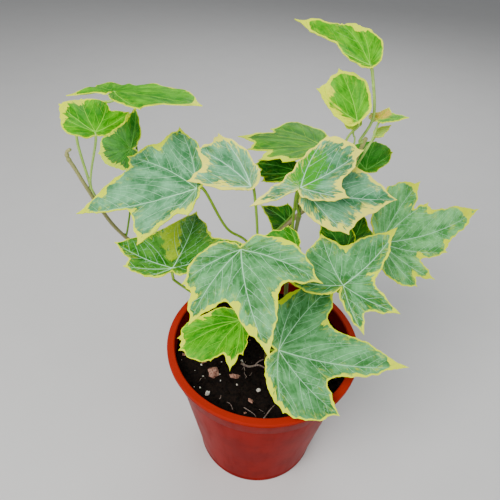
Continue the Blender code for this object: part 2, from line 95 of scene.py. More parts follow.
def newGroup(name, inputs, outputs):
    group = bpy.data.node_groups.new(name, "ShaderNodeTree")
    for label, kind in inputs:
        group.interface.new_socket(name=label, in_out="INPUT", socket_type=kind)
    for label, kind in outputs:
        group.interface.new_socket(name=label, in_out="OUTPUT", socket_type=kind)
    return group, group.nodes.new("NodeGroupInput").outputs, group.nodes.new("NodeGroupOutput").inputs


def readOut(tree, name, kind="Fac"):
    return addNode(tree, "ShaderNodeAttribute", attribute_name=name).outputs[kind]


def objectPlace(tree):
    return addNode(tree, "ShaderNodeTexCoord").outputs["Object"]


def addBump(tree, shader, height, strength, distance, invert=False):
    bump = addNode(tree, "ShaderNodeBump", {"Height": height, "Strength": strength, "Distance": distance},
                   invert=invert)
    tree.links.new(bump.outputs[0], shader.inputs["Normal"])


def newMaterial(name):
    made = bpy.data.materials.new(name)
    made.use_nodes = True
    return made, made.node_tree, made.node_tree.nodes["Principled BSDF"]


colourKind, floatKind, vectorKind = "NodeSocketColor", "NodeSocketFloat", "NodeSocketVector"


# leaf pattern: marbled green, pale veins with painted shade darkening the creases along their flanks,
# ragged light margin.
# Scales run per 10 mm of blade for "flat" textures and per streak for "ray" textures.
leafTexture = dict(
    slowScale=1.1, netScale=3.1, netWidth=0.075, netBend=0.35, fadeScale=2.2, fleckScale=1.7,
    fleckReach=5.5, rayScale=0.5, cloudScale=1.2, mottleScale=9.0, dustScale=14.0, rayShare=0.42,
    cloudShare=0.38, mottleShare=0.2, creaseShadeShare=0.35, patchStreak=8.0, patchPull=-1.4, zoneRag=1.1,
    marginDust=0.16, veinHideShare=0.75, netHeight=-0.35, dustHeight=0.25)


def buildLeafPattern():
    tree, given, out = newGroup("leafPattern", [
        ("flat", vectorKind), ("ray", vectorKind), ("edge", floatKind), ("vein", floatKind),
        ("beside", floatKind), ("wide", floatKind), ("zone", floatKind), ("deep", colourKind),
        ("light", colourKind), ("margin", colourKind), ("veinTint", colourKind),
        ("zoneTint", colourKind), ("marginWidth", floatKind), ("ragged", floatKind),
        ("fleck", floatKind), ("net", floatKind), ("veinShare", floatKind),
    ], [("colour", colourKind), ("height", floatKind)])
    t = leafTexture
    streak = noiseOf(tree, given["ray"], 1.0, 3.0)
    slow = noiseOf(tree, given["flat"], t["slowScale"], 1.0)
    # faint net of the smallest veins
    warp = addNode(tree, "ShaderNodeTexNoise", {"Vector": given["flat"], "Scale": 4.0, "Detail": 3.0})
    shifted = addNode(tree, "ShaderNodeVectorMath", {0: warp.outputs["Color"], 1: (t["netBend"],) * 3},
                      operation="MULTIPLY").outputs[0]
    bent = addNode(tree, "ShaderNodeVectorMath", {0: given["flat"], 1: shifted}).outputs[0]
    cells = addNode(tree, "ShaderNodeTexVoronoi",
                    {"Vector": bent, "Scale": t["netScale"], "Randomness": 0.85},
                    feature="DISTANCE_TO_EDGE", voronoi_dimensions="2D").outputs["Distance"]
    fade = ramp(tree, noiseOf(tree, given["flat"], t["fadeScale"]), 0.42, 0.62)
    netMask = times(tree, ramp(tree, cells, 0.0, t["netWidth"], 1.0, 0.0), fade)
    # how far the light margin reaches in from the edge, in mm
    patch = plus(tree, times(tree, streak, t["patchStreak"]), t["patchPull"])
    reach = plus(tree, given["marginWidth"], times(tree, around(tree, streak), given["ragged"]),
                 times(tree, given["wide"], patch), times(tree, around(tree, slow), given["marginWidth"]))
    gap = calc(tree, "SUBTRACT", reach, given["edge"])
    marginMask = ramp(tree, gap, -0.18, 0.22)
    # flecks between the margin and the middle
    flecks = noiseOf(tree, given["ray"], t["fleckScale"], 4.0, 0.65)
    near = ramp(tree, gap, -t["fleckReach"], 0.0)
    fleckMask = times(tree, ramp(tree, flecks, 0.5, 0.68), times(tree, near, given["fleck"]))
    # deeper and lighter green: rays from the stalk, clouds, fine mottling, and painted shade in the
    # creases beside the main veins
    rays = ramp(tree, noiseOf(tree, given["ray"], t["rayScale"], 3.0, 0.6), 0.38, 0.62)
    clouds = ramp(tree, noiseOf(tree, given["flat"], t["cloudScale"], 3.0, 0.55), 0.38, 0.62)
    mottle = ramp(tree, noiseOf(tree, given["flat"], t["mottleScale"], 4.0, 0.7), 0.32, 0.68)
    tone = plus(tree, times(tree, rays, t["rayShare"]), times(tree, clouds, t["cloudShare"]),
                times(tree, mottle, t["mottleShare"]), times(tree, given["beside"], t["creaseShadeShare"]))
    colour = blendColour(tree, tone, given["light"], given["deep"])
    zoneEdge = plus(tree, given["zone"], times(tree, around(tree, streak), t["zoneRag"]))
    zoneMask = times(tree, ramp(tree, zoneEdge, 0.38, 0.6), plus(tree, times(tree, mottle, 0.35), 0.65))
    colour = blendColour(tree, zoneMask, colour, given["zoneTint"])
    colour = blendColour(tree, times(tree, netMask, given["net"]), colour, given["veinTint"])
    colour = blendColour(tree, fleckMask, colour, given["margin"])
    dust = noiseOf(tree, given["flat"], t["dustScale"], 3.0, 0.7)
    dustShare = times(tree, ramp(tree, dust, 0.48, 0.75), t["marginDust"])
    edgeTint = blendColour(tree, dustShare, given["margin"], given["light"])
    colour = blendColour(tree, marginMask, colour, edgeTint)
    veinMask = times(tree, ramp(tree, given["vein"], 0.05, 0.9), given["veinShare"])
    shown = calc(tree, "SUBTRACT", 1.0, times(tree, marginMask, t["veinHideShare"]))
    colour = blendColour(tree, times(tree, veinMask, shown), colour, given["veinTint"])
    tree.links.new(colour, out["colour"])
    # veins and net are sunk in the upper face
    height = plus(tree, times(tree, given["vein"], -1.0), times(tree, netMask, t["netHeight"]),
                  times(tree, dust, t["dustHeight"]))
    tree.links.new(height, out["height"])
    return tree


leafPattern = buildLeafPattern()


# green bark and stalk pattern, used by vines and by leaf stalks
def buildStemPattern():
    tree, given, out = newGroup("stemPattern", [
        ("place", vectorKind), ("along", floatKind), ("low", colourKind), ("high", colourKind),
        ("fibre", colourKind)], [("colour", colourKind), ("height", floatKind)])
    lines = noiseOf(tree, given["place"], 1.0, 4.0, 0.6)
    spots = noiseOf(tree, given["place"], 4.0, 2.0)
    colour = blendColour(tree, given["along"], given["low"], given["high"])
    fibreShare = times(tree, ramp(tree, lines, 0.42, 0.7), 0.55)
    tree.links.new(blendColour(tree, fibreShare, colour, given["fibre"]), out["colour"])
    tree.links.new(plus(tree, lines, times(tree, spots, 0.4)), out["height"])
    return tree


stemPattern = buildStemPattern()


def stemMaterial(name, low, high, fibre):
    made, tree, shader = newMaterial(name)
    pattern = addNode(tree, "ShaderNodeGroup", node_tree=stemPattern)
    tree.links.new(readOut(tree, "flat", "Vector"), pattern.inputs["place"])
    tree.links.new(readOut(tree, "along"), pattern.inputs["along"])
    for label, tint in (("low", low), ("high", high), ("fibre", fibre)):
        pattern.inputs[label].default_value = (*tint, 1.0)
    tree.links.new(pattern.outputs["colour"], shader.inputs["Base Color"])
    tree.links.new(ramp(tree, pattern.outputs["height"], 0.2, 1.2, 0.36, 0.6), shader.inputs["Roughness"])
    addBump(tree, shader, pattern.outputs["height"], 0.5, 0.15 * mm)
    return made


# the finishes a leaf may have; a leaf's own dictionary can change any of them
finishes = {
    "greyGold": dict(
        slot="leaf_grey_gold",
        deep=(0.032, 0.185, 0.034), light=(0.180, 0.56, 0.215), margin=(0.84, 0.97, 0.0),
        veinTint=(0.48, 0.98, 0.58), zoneTint=(0.42, 0.62, 0.0), under=(0.16, 0.42, 0.10),
        stalk=(0.26, 0.46, 0.01), marginWidth=0.65, ragged=2.2, fleck=0.45, net=0.30,
        veinShare=1.0),
    "cream": dict(
        slot="leaf_cream",
        deep=(0.038, 0.20, 0.066), light=(0.215, 0.59, 0.31), margin=(0.98, 0.95, 0.11),
        veinTint=(0.55, 0.98, 0.68), zoneTint=(0.05, 0.36, 0.002), under=(0.20, 0.46, 0.16),
        stalk=(0.24, 0.44, 0.02), marginWidth=0.65, ragged=3.6, fleck=0.9, net=0.22,
        veinShare=0.95),
    "young": dict(
        slot="leaf_young",
        deep=(0.020, 0.24, 0.0), light=(0.150, 0.62, 0.0), margin=(0.84, 0.98, 0.0),
        veinTint=(0.40, 0.95, 0.05), zoneTint=(0.90, 0.95, 0.0), under=(0.18, 0.58, 0.01),
        stalk=(0.44, 0.70, 0.12), marginWidth=0.35, ragged=1.3, fleck=0.25, net=0.10,
        veinShare=0.7),
    # painted shade: a darker copy of the leaf finish for leaves lying in shade inside and behind the
    # plant
    "deepGreen": dict(
        slot="leaf_deep",
        deep=(0.004, 0.060, 0.002), light=(0.034, 0.25, 0.012), margin=(0.75, 0.95, 0.0),
        veinTint=(0.16, 0.55, 0.08), zoneTint=(0.16, 0.52, 0.0), under=(0.10, 0.36, 0.03),
        stalk=(0.16, 0.36, 0.01), marginWidth=0.4, ragged=1.2, fleck=0.25, net=0.14,
        veinShare=0.8),
}
tintNames = ("deep", "light", "margin", "veinTint", "zoneTint")
amountNames = ("marginWidth", "ragged", "fleck", "net", "veinShare")
leafGloss = dict(top=0.40, under=0.55, veinExtra=0.14, specular=0.16, bump=0.6, underMix=0.65)


def bladeMaterial(name, look, under=False):
    made, tree, shader = newMaterial(name)
    pattern = addNode(tree, "ShaderNodeGroup", node_tree=leafPattern)
    for label in ("flat", "ray"):
        tree.links.new(readOut(tree, label, "Vector"), pattern.inputs[label])
    for label in ("edge", "vein", "beside", "wide", "zone"):
        tree.links.new(readOut(tree, label), pattern.inputs[label])
    for label in tintNames:
        tint = look[label]
        if under and label in ("deep", "light"):
            share = leafGloss["underMix"]
            tint = [a * (1 - share) + b * share for a, b in zip(tint, look["under"])]
        pattern.inputs[label].default_value = (*tint, 1.0)
    for label in amountNames:
        pattern.inputs[label].default_value = look[label]
    tree.links.new(pattern.outputs["colour"], shader.inputs["Base Color"])
    shader.inputs["Specular IOR Level"].default_value = leafGloss["specular"]
    low = leafGloss["under" if under else "top"]
    rough = ramp(tree, pattern.outputs["height"], -1.0, 0.3, low + leafGloss["veinExtra"], low)
    tree.links.new(rough, shader.inputs["Roughness"])
    addBump(tree, shader, pattern.outputs["height"], leafGloss["bump"], 0.25 * mm, under)
    return made


# vines: radius at the foot and end, tints from foot to end, and the points grown through;
# the first point only says where the vine leaves the soil
soilTop = 79.0
vineRules = dict(sunk=5.7, straight=4.0, steps=4, fineSteps=12, sides=14, body=0.92, knot=0.3,
                 knotLength=0.018, lump=0.08, lumpCount=40, grain=(1.2, 5.0), fibreLift=1.7)
vines = {
    "vine_left": dict(foot=1.3, end=0.8, low=(0.16, 0.17, 0.04), high=(0.42, 0.40, 0.16), points=(
        (-13, 5, None), (-14, 8, 93), (-20, 16, 102), (-35, 24, 106), (-62, 35, 111), (-77, 31, 131),
        (-83, 21, 158), (-88, 20, 173), (-90, 20, 178), (-90, 20, 181), (-88, 19, 183))),
    "vine_right": dict(foot=1.4, end=0.8, low=(0.14, 0.07, 0.04), high=(0.38, 0.40, 0.12), points=(
        (-5, 11, None), (-4, 14, 115), (3, 18, 139), (14, 22, 152), (25, 26, 160),
        (34, 28, 169), (37, 26, 182), (39, 25, 191))),
    "vine_middle": dict(foot=1.3, end=0.9, low=(0.12, 0.10, 0.03), high=(0.20, 0.30, 0.05), points=(
        (12, 10, None), (10, 10, 125), (12, 10, 156), (12, 10, 165))),
    "vine_front": dict(foot=1.3, end=0.9, low=(0.12, 0.09, 0.03), high=(0.22, 0.28, 0.06), points=(
        (2, -8, None), (0, -8, 100), (-2, -8, 122), (-5, -9, 138))),
    "vine_side": dict(foot=1.3, end=0.9, low=(0.12, 0.09, 0.03), high=(0.24, 0.24, 0.08), points=(
        (19, 8, None), (22, 11, 105), (27, 14, 120), (33, 17, 131))),
}


def curveThrough(points, before, after, stepsOf):
    # a smooth curve through points, given where it comes from and where it goes on to
    ends = [before, *points, after]
    path = []
    for a, b, c, d in zip(ends, ends[1:], ends[2:], ends[3:]):
        steps = stepsOf(b, c)
        for index in range(steps):
            t = index / steps
            path.append(0.5 * (2 * b + (c - a) * t + (2 * a - 5 * b + 4 * c - d) * t * t
                               + (3 * b - a - 3 * c + d) * t ** 3))
    return path


def smoothPath(points, steps):
    before, after = points[0] * 2 - points[1], points[-1] * 2 - points[-2]
    return curveThrough(points, before, after, lambda b, c: steps) + [points[-1]]


def vinePoints(name, steps):
    (x, y, _), *rest = vines[name]["points"]
    start = [Vector((x, y, soilTop - vineRules["sunk"])), Vector((x, y, soilTop + vineRules["straight"]))]
    return smoothPath(start + [Vector(point) for point in rest], steps)


def vineAt(name, share):
    # the spot at a share of the vine's length, and the way the vine runs there
    path = vinePoints(name, vineRules["steps"])
    lengths = [0.0]
    for before, after in zip(path, path[1:]):
        lengths.append(lengths[-1] + (after - before).length)
    wanted = share * lengths[-1]
    for index in range(len(path) - 1):
        if lengths[index + 1] >= wanted:
            part = (wanted - lengths[index]) / (lengths[index + 1] - lengths[index])
            along = path[index + 1] - path[index]
            return path[index] + along * part, along.normalized()
    return path[-1], (path[-1] - path[-2]).normalized()


def onCircle(turn, radius=1.0):
    return Vector((radius * math.cos(turn), radius * math.sin(turn)))


def tubeParts(path, radii, sides):
    # rings of a rod along a path in mm, with vertices, faces and share of length per vertex
    verts, faces, along = [], [], []
    tangent = (path[1] - path[0]).normalized()
    side = tangent.orthogonal().normalized()
    for index, (spot, radius) in enumerate(zip(path, radii)):
        before, after = path[max(index - 1, 0)], path[min(index + 1, len(path) - 1)]
        tangent = (after - before).normalized()
        side = (side - tangent * side.dot(tangent)).normalized()
        other = tangent.cross(side)
        for step in range(sides):
            way = onCircle(math.tau * step / sides)
            verts.append(spot + (side * way.x + other * way.y) * radius)
            along.append(index / (len(path) - 1))
    for ring in range(len(path) - 1):
        for step in range(sides):
            after = (step + 1) % sides
            low, high = ring * sides, (ring + 1) * sides
            faces.append((low + step, low + after, high + after, high + step))
    last = (len(path) - 1) * sides
    for start, spot, share, flip in ((0, path[0], 0.0, True), (last, path[-1], 1.0, False)):
        centre = len(verts)
        verts.append(spot)
        along.append(share)
        for step in range(sides):
            pair = (start + step, start + (step + 1) % sides)
            faces.append((centre, *(pair[::-1] if flip else pair)))
    return verts, faces, along


def addObject(name, data):
    made = bpy.data.objects.new(name, data)
    bpy.context.scene.collection.objects.link(made)
    return made


def meshObject(name, verts, faces, materials, slots=None, attributes=None):
    # vertices come in mm; a field becomes one attribute value per vertex
    data = bpy.data.meshes.new(name)
    data.from_pydata([tuple(v * mm) for v in verts], [], faces)
    for finish in materials:
        data.materials.append(finish)
    if slots is not None:
        data.polygons.foreach_set("material_index", slots)
    for label, values in (attributes or {}).items():
        values = np.asarray(values, np.float32)
        if values.ndim == 2:
            data.attributes.new(label, "FLOAT_VECTOR", "POINT").data.foreach_set("vector", values.ravel())
        else:
            data.attributes.new(label, "FLOAT", "POINT").data.foreach_set("value", values)
    data.shade_smooth()
    return addObject(name, data)


def settle(piece, slot, *nodes):
    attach(piece, "root")
    if nodes:
        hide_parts(*nodes)


# joint, heading, pitch, roll: where the blade sits and how it turns; sag and fold: its bend.
# vine, share, via: the vine it grows on, how far along, and points its stalk passes on the way.
# lobes: (angle from the blade's axis, length). hips: how full the blade is on each side of the stalk.
# hollows: depth between lobes, or (depth, how far along from one lobe to the next).
# patches: (angle, reach, radius) where the light margin widens; zones: the same for the sector tint.
leaves = {
    "leaf_front_middle": dict(
        look="greyGold", joint=(-13, -15, 159), heading=-75, pitch=-15, roll=10, sag=0.15,
        vine="vine_front", share=0.85, lobes=((-70, 28), (-45, 38), (0, 46), (50, 36)),
        hollows=(0.80, 0.50, 0.50), hips=(0.60, 0.60),
        patches=((79, 17, 4), (37, 17, 4), (20, 25, 3), (-31, 19, 3.5), (-15, 25, 2.5), (-58, 28, 4),
                 (-40, 29, 3), (-5, 33, 2.5), (0, 43, 3))),
    "leaf_front_right": dict(
        look="greyGold", joint=(6, -24, 107), heading=0, pitch=0, roll=35, sag=0.12, fold=0.05,
        vine="vine_front", share=0.22, lobes=((-85, 28), (-45, 40), (-5, 63), (50, 44), (70, 33)),
        hollows=(0.95, 0.43, 0.43, 0.78), hips=(0.50, 0.60),
        patches=((-92, 25, 6), (-104, 18, 5), (-8, 34, 5), (-23, 20, 3), (-37, 34, 3), (83, 25, 4),
                 (32, 24, 2.5), (48, 40, 3), (-5, 56, 4))),
    "leaf_big_left": dict(
        look="greyGold", joint=(-32, 0, 178), heading=170, pitch=-15, roll=-35, sag=0.12, fold=0.08,
        vine="vine_middle", share=0.50, via=((-20, 6, 154), (-10, 11, 142)),
        lobes=((-72, 31), (-29, 40), (3, 62), (41, 34), (74, 12)),
        hollows=(0.80, (0.66, 0.19), (0.61, 0.16), (0.57, 0.27)), hips=(0.45, 0.35),
        deep=(0.038, 0.20, 0.064), light=(0.215, 0.59, 0.305),
        patches=((-50, 28, 4), (-26, 29, 4), (-28, 23, 3), (-15, 40, 4), (-4, 46, 3.5), (4, 58, 5),
                 (12, 26, 3), (43, 22, 3), (40, 32, 4), (52, 13, 3), (74, 10, 3))),
    "leaf_upper_middle": dict(
        look="cream", joint=(-10, 0, 180), heading=155, pitch=25, roll=-30,
        vine="vine_right", share=0.28, via=((-6, 2, 152),), lobes=((-24, 27), (0, 28), (33, 26)),
        hollows=((0.88, 0.45), (0.75, 0.40)), hips=(0.48, 0.15), marginWidth=0.8,
        patches=((11, 20, 4), (29, 12, 3.5), (-24, 25, 3))),
    "leaf_right": dict(
        look="greyGold", joint=(32, -14, 140), heading=45, pitch=20, roll=20, fold=0.08,
        vine="vine_side", share=0.95, via=((30, -5, 135),),
        lobes=((-118, 23), (-74, 27), (0, 42), (62, 26), (126, 26)),
        hollows=(0.52, 0.32, 0.50, 0.80), hips=(0.40, 0.60),
        patches=((-4, 39, 5), (-22, 13, 3), (-59, 8, 2), (67, 15, 4), (36, 17, 3))),
    "leaf_far_right": dict(
        look="greyGold", joint=(56, 22, 136), heading=30, pitch=5, roll=50, fold=0.05,
        vine="vine_side", share=0.88,
        lobes=((-85, 23), (-67, 31), (-50, 39), (-27, 43), (-5, 74), (14, 38), (30, 42)),
        hollows=(0.95, 0.72, 0.55, 0.72, 0.64, 0.64), hips=(0.55, 0.68), crease=0.9,
        deep=(0.058, 0.30, 0.055), light=(0.27, 0.76, 0.26),
        patches=((33, 38, 4), (26, 25, 3), (8, 35, 3), (-8, 48, 3), (-20, 41, 3), (-34, 23, 3),
                 (-50, 35, 3), (-59, 24, 2.5), (-5, 61, 5))),
    "leaf_low_left": dict(
        look="greyGold", joint=(-43, -8, 141), heading=80, pitch=10, roll=-10, sag=0.08, fold=0.08,
        vine="vine_left", share=0.12, via=((-40, -7, 130),),
        lobes=((-63, 37), (0, 39), (67, 38), (91, 24), (118, 13)),
        hollows=(0.58, 0.62, 0.68, 0.75), hips=(0.35, 0.45),
        deep=(0.016, 0.14, 0.004), light=(0.095, 0.36, 0.035), marginWidth=0.6,
        zones=((17, 8, 4), (18, 15, 5), (19, 22, 6), (20, 29, 7), (21, 36, 7)), patches=((-29, 28, 3),)),
    "leaf_cream_lower": dict(
        look="cream", joint=(13, 5, 176), heading=5, pitch=0, roll=35, sag=0.12, fold=0.05,
        vine="vine_middle", share=0.95, lobes=((-49, 26), (-4, 41), (40, 22)), hollows=(0.72, 0.82),
        hips=(0.55, 0.50), patches=((-68, 10, 2.5), (-59, 15, 3), (-50, 22, 4), (-27, 20, 4),
                                    (-15, 26, 4), (17, 33, 5), (25, 25, 4), (2, 14, 4))),
    "leaf_cream_upper": dict(
        look="cream", joint=(10, -1, 181), heading=35, pitch=25, roll=20, sag=0.15, fold=0.15,
        vine="vine_middle", share=0.78, lobes=((-56, 20), (-5, 33), (24, 28), (158, 22)),
        hollows=(0.58, 0.95, 0.25), hips=(0.45, 0.40), zones=((30, 12, 9), (60, 8, 8), (10, 5, 6)),
        patches=((15, 27, 5), (-5, 31, 5), (7, 25, 4), (2, 15, 3), (-39, 14, 3), (-54, 17, 4),
                 (163, 19, 4))),
    "leaf_low_front": dict(
        look="young", joint=(-12, -12, 113), heading=-120, pitch=-15, roll=0, fold=0.08,
        vine="vine_front", share=0.38,
        lobes=((-71, 19), (-46, 31), (-35, 32), (-5, 24), (19, 25), (34, 18)),
        hollows=(1, 0.92, 0.98, 0.70, 0.76), hips=(0.55, 0.40), crease=0.9,
        patches=((-67, 18, 4), (-42, 29, 3), (14, 21, 3), (5, 14, 2))),
    "leaf_left_bright": dict(
        look="young", joint=(-71, 4.4, 199), heading=115, pitch=28, roll=10,
        vine="vine_left", share=0.80, lobes=((-60, 19), (-29, 18), (3, 18), (35, 18), (55, 14)),
        hollows=(0.68, 0.94, 0.93, 0.90), hips=(0.40, 0.80),
        patches=((36, 16, 4), (12, 15, 4), (52, 13, 3))),
    "leaf_left_long": dict(
        look="young", joint=(-67, 25, 207), heading=54, pitch=-4, roll=-11, fold=0.03,
        vine="vine_left", share=0.86, via=((-82, 25, 200), (-86, 24, 186)),
        lobes=((-114, 32), (-83, 43), (-49, 27), (68, 27), (116, 22)),
        hollows=((0.86, 0.50), 0.80, (0.36, 0.55), (0.62, 0.50)), hips=(0.35, 0.30), marginWidth=0.35,
        patches=((-49, 26, 3), (-83, 41, 3), (116, 20, 3))),
    "leaf_left_curled": dict(
        look="deepGreen", joint=(-67, 38, 174), heading=-174, pitch=-7, roll=-50,
        vine="vine_left", share=0.62, lobes=((-104, 21), (-52, 13.5), (1, 15.5), (47, 11.5), (95, 9)),
        hollows=((0.67, 0.40), 0.92, 0.93, 0.98), hips=(0.40, 0.80), deep=(0.012, 0.15, 0.003),
        light=(0.075, 0.42, 0.03),
        patches=((1, 14, 3.5), (47, 10, 3), (22, 12, 3), (-52, 12, 3), (-90, 15, 2))),
    "leaf_top_shadow": dict(
        look="deepGreen", joint=(21, 32, 183), heading=175, pitch=0, roll=0, sag=0.12, fold=0.05,
        vine="vine_right", share=0.68, lobes=((-35, 29), (-14, 40), (5, 33), (29, 31), (44, 23)),
        hollows=(0.66, 0.80, 0.74, 0.80), hips=(0.80, 0.55), crease=0.9, deep=(0.018, 0.17, 0.0),
        light=(0.10, 0.40, 0.008), marginWidth=0.7, veinTint=(0.40, 0.72, 0.06),
        patches=((-13, 37, 5), (19, 24, 4), (1, 25, 3), (40, 22, 5), (29, 28, 4))),
    "leaf_back_dark": dict(
        look="deepGreen", joint=(11, 26, 172), heading=180, pitch=0, roll=-20, fold=0.05,
        vine="vine_right", share=0.52, lobes=((-16, 20), (1, 19), (18, 17), (30, 12)),
        hollows=(0.80, 0.82, 0.90), hips=(0.80, 0.50)),
    "leaf_crown": dict(
        look="young", joint=(34, 22, 223), heading=140, pitch=25, roll=-30, sag=0.12,
        vine="vine_right", share=0.985, lobes=((-32, 18), (-15, 22), (8, 37), (33, 8)),
        hollows=(0.98, 0.80, (0.66, 0.03)), hips=(0.70, 0.35), marginWidth=0.5,
        patches=((-32, 17, 3), (8, 34, 4))),
    "leaf_yellow_upper": dict(
        look="young", joint=(32, 18, 202), heading=150, pitch=40, roll=-45, sag=0.08, fold=0.08,
        vine="vine_right", share=0.76, via=((30, 23, 190),), lobes=((-19, 22), (13, 21), (86, 4)),
        hollows=(0.88, 0.50), hips=(0.75, 0.60), zones=((12, 18, 5), (45, 10, 5), (75, 5, 4)),
        marginWidth=1.0, patches=((13, 19, 4), (60, 9, 4))),
    "leaf_new_side": dict(
        look="young", joint=(43, 24, 200), heading=0, pitch=25, roll=0,
        vine="vine_right", share=0.86, via=((40, 21, 190),), lobes=((-27, 12), (52, 9), (107, 9)),
        hollows=(0.50, 0.60), hips=(0.50, 0.60), zoneTint=(0.80, 0.50, 0.01),
        zones=((60, 4, 5), (107, 8, 5))),
    "leaf_new_small": dict(
        look="young", joint=(33, 25, 196), heading=100, pitch=50, roll=-10, fold=0.20,
        vine="vine_right", share=0.80, via=((34, 24, 188),), lobes=((-60, 4), (0, 6), (60, 5)),
        hollows=(0.75, 0.75), hips=(0.70, 0.70), light=(0.50, 0.72, 0.06), deep=(0.30, 0.55, 0.02)),
    "leaf_behind_right": dict(
        look="deepGreen", joint=(45, 36, 169), heading=45, pitch=35, roll=0, fold=0.05,
        vine="vine_right", share=0.76, lobes=((-20, 15), (20, 17), (62, 17)), hollows=(0.98, 0.98),
        hips=(0.55, 0.75), deep=(0.014, 0.16, 0.003), light=(0.05, 0.34, 0.02), marginWidth=0.2),
    "leaf_inner_right": dict(
        look="deepGreen", joint=(35, 8, 140), heading=140, pitch=40, roll=-20, fold=0.05,
        vine="vine_side", share=0.76, lobes=((-55, 14), (0, 19), (60, 13)), hollows=(0.75, 0.72),
        hips=(0.55, 0.55)),
    "leaf_inner_side": dict(
        look="deepGreen", joint=(40, 16, 141), heading=60, pitch=45, roll=0, fold=0.05,
        vine="vine_side", share=0.985, lobes=((-50, 11), (0, 15), (55, 12)), hollows=(0.75, 0.75),
        hips=(0.55, 0.55), light=(0.04, 0.26, 0.005)),
    "leaf_inner_left": dict(
        look="young", joint=(11, -2, 152), heading=170, pitch=10, roll=-25,
        vine="vine_middle", share=0.58, via=((10, 3, 143),), lobes=((-55, 10), (0, 16), (60, 9)),
        hollows=(0.72, 0.65), hips=(0.55, 0.55), deep=(0.016, 0.20, 0.002), light=(0.08, 0.38, 0.04)),
    "leaf_inner_back": dict(
        look="deepGreen", joint=(10, 28, 141), heading=155, pitch=25, roll=-20,
        vine="vine_right", share=0.40, lobes=((-55, 12), (0, 17), (60, 10)), hollows=(0.66, 0.66),
        hips=(0.55, 0.55)),
    "leaf_bud": dict(
        look="young", joint=(43, 26, 192), heading=20, pitch=30, roll=10, sag=0.05, fold=0.25,
        vine="vine_right", share=0.95, lobes=((-60, 4), (0, 8), (60, 3)), hollows=(0.65, 0.65),
        hips=(0.60, 0.60), light=(0.50, 0.74, 0.14), deep=(0.34, 0.58, 0.06)),
}
# shape rules every blade shares; sag, fold and crease are the usual ones, a leaf may have its own
bladeRules = dict(
    baseLip=1.5, hollowLean=0.38, bulge=0.07, hipAngle=32.0, thickness=0.42, edgeStep=0.7, gridStep=1.35,
    rounding=0.3, tipDraw=0.45, ragFade=5.0, rag=((5.0, 3.0, 0.9), (1.7, 9.0, 0.4)), veinClear=0.08,
    gridClear=0.55, edgeClear=0.3, foldStart=0.1, fullSize=30.0, crease=0.55, creaseReach=3.5, wave=0.4,
    waveCount=9, waveReach=5.0, sag=0.10, fold=0.10, lump=0.25, lumpSize=5.0, jointFlat=2.5,
    besideAt=1.5, besideWidth=1.1, flatScale=10.0, rayTurn=0.075, rayLength=6.5, sharp=70)
hipSteps = ((1.0, 0.4, 1.0), (2.2, 0.8, 0.5))  # turn, most it may use of the way round, share of reach


def bladeCorners(leaf):
    # (angle, reach, whether it is a lobe tip), all the way round from the right of the stalk
    lobes = leaf["lobes"]
    corners = []
    for (angle, reach), (nextAngle, nextReach), hollow in zip(lobes, lobes[1:], leaf["hollows"]):
        corners.append((angle, reach, True))
        lean = bladeRules["hollowLean"] if reach < nextReach else 1.0 - bladeRules["hollowLean"]
        depth, lean = hollow if isinstance(hollow, tuple) else (hollow, lean)
        corners.append((angle + (nextAngle - angle) * lean, (reach + nextReach) / 2 * depth, False))
    corners.append((*lobes[-1], True))
    right, left = leaf["hips"]
    first, last = corners[0], corners[-1]
    for turn, part, share in hipSteps:
        step = min(bladeRules["hipAngle"] * turn, (180.0 + first[0]) * part)
        corners.insert(0, (first[0] - step, first[1] * right * share, False))
        step = min(bladeRules["hipAngle"] * turn, (180.0 - last[0]) * part)
        corners.append((last[0] + step, last[1] * left * share, False))
    return corners


def bladeOutline(leaf, seed):
    # rounded corners, sharp lobe tips, then a fine wandering edge
    spots = [(Vector((-bladeRules["baseLip"], 0.0)), True)]
    spots += [(onCircle(math.radians(angle), reach), tip) for angle, reach, tip in bladeCorners(leaf)]
    line = []
    for (here, tip), (after, nextTip) in zip(spots, spots[1:] + spots[:1]):
        line.append((here, tip))
        edge = after - here
        swell = bladeRules["bulge"] if tip != nextTip else 0.0
        line.append(((here + after) / 2 + Vector((edge.y, -edge.x)) * swell, False))
    rounded = []
    pull = bladeRules["rounding"]
    for index, (here, tip) in enumerate(line):
        before, after = line[index - 1][0], line[(index + 1) % len(line)][0]
        rounded.append((here if tip else here * (1 - pull) + (before + after) * pull / 2, tip))
    rounded.append(rounded[0])
    fine, run = [], [rounded[0][0]]
    for here, tip in rounded[1:]:
        run.append(here)
        if tip:
            fine += wanderingRun(run, seed + len(fine) * 0.01)
            run = [here]
    return fine


def wanderingRun(run, seed):
    # the edge turns along the lobe as it nears the tip, which draws the tip out
    draw = bladeRules["tipDraw"]
    path = curveThrough(run, run[0] * 2 - run[1] + run[0] * draw, run[-1] * 2 - run[-2] + run[-1] * draw,
                        lambda b, c: max(2, round((c - b).length / bladeRules["edgeStep"])))
    moved, travelled = [], 0.0
    whole = sum((b - a).length for a, b in zip(path, path[1:]))
    for index, here in enumerate(path):
        before, after = path[max(index - 1, 0)], path[min(index + 1, len(path) - 1)]
        travelled += (here - before).length
        ragFade = bladeRules["ragFade"]
        fade = min(1.0, travelled / ragFade, max(whole - travelled, 0.0) / ragFade)
        push = sum(noise.noise(Vector((travelled / size, seed, layer))) * amount
                   for size, layer, amount in bladeRules["rag"])
        slope = after - before
        out = Vector((slope.y, -slope.x)).normalized() if slope.length > 0 else Vector((0, 0))
        moved.append(here + out * push * fade)
    return moved


batch = 400  # points worked on at a time, which keeps the tables small


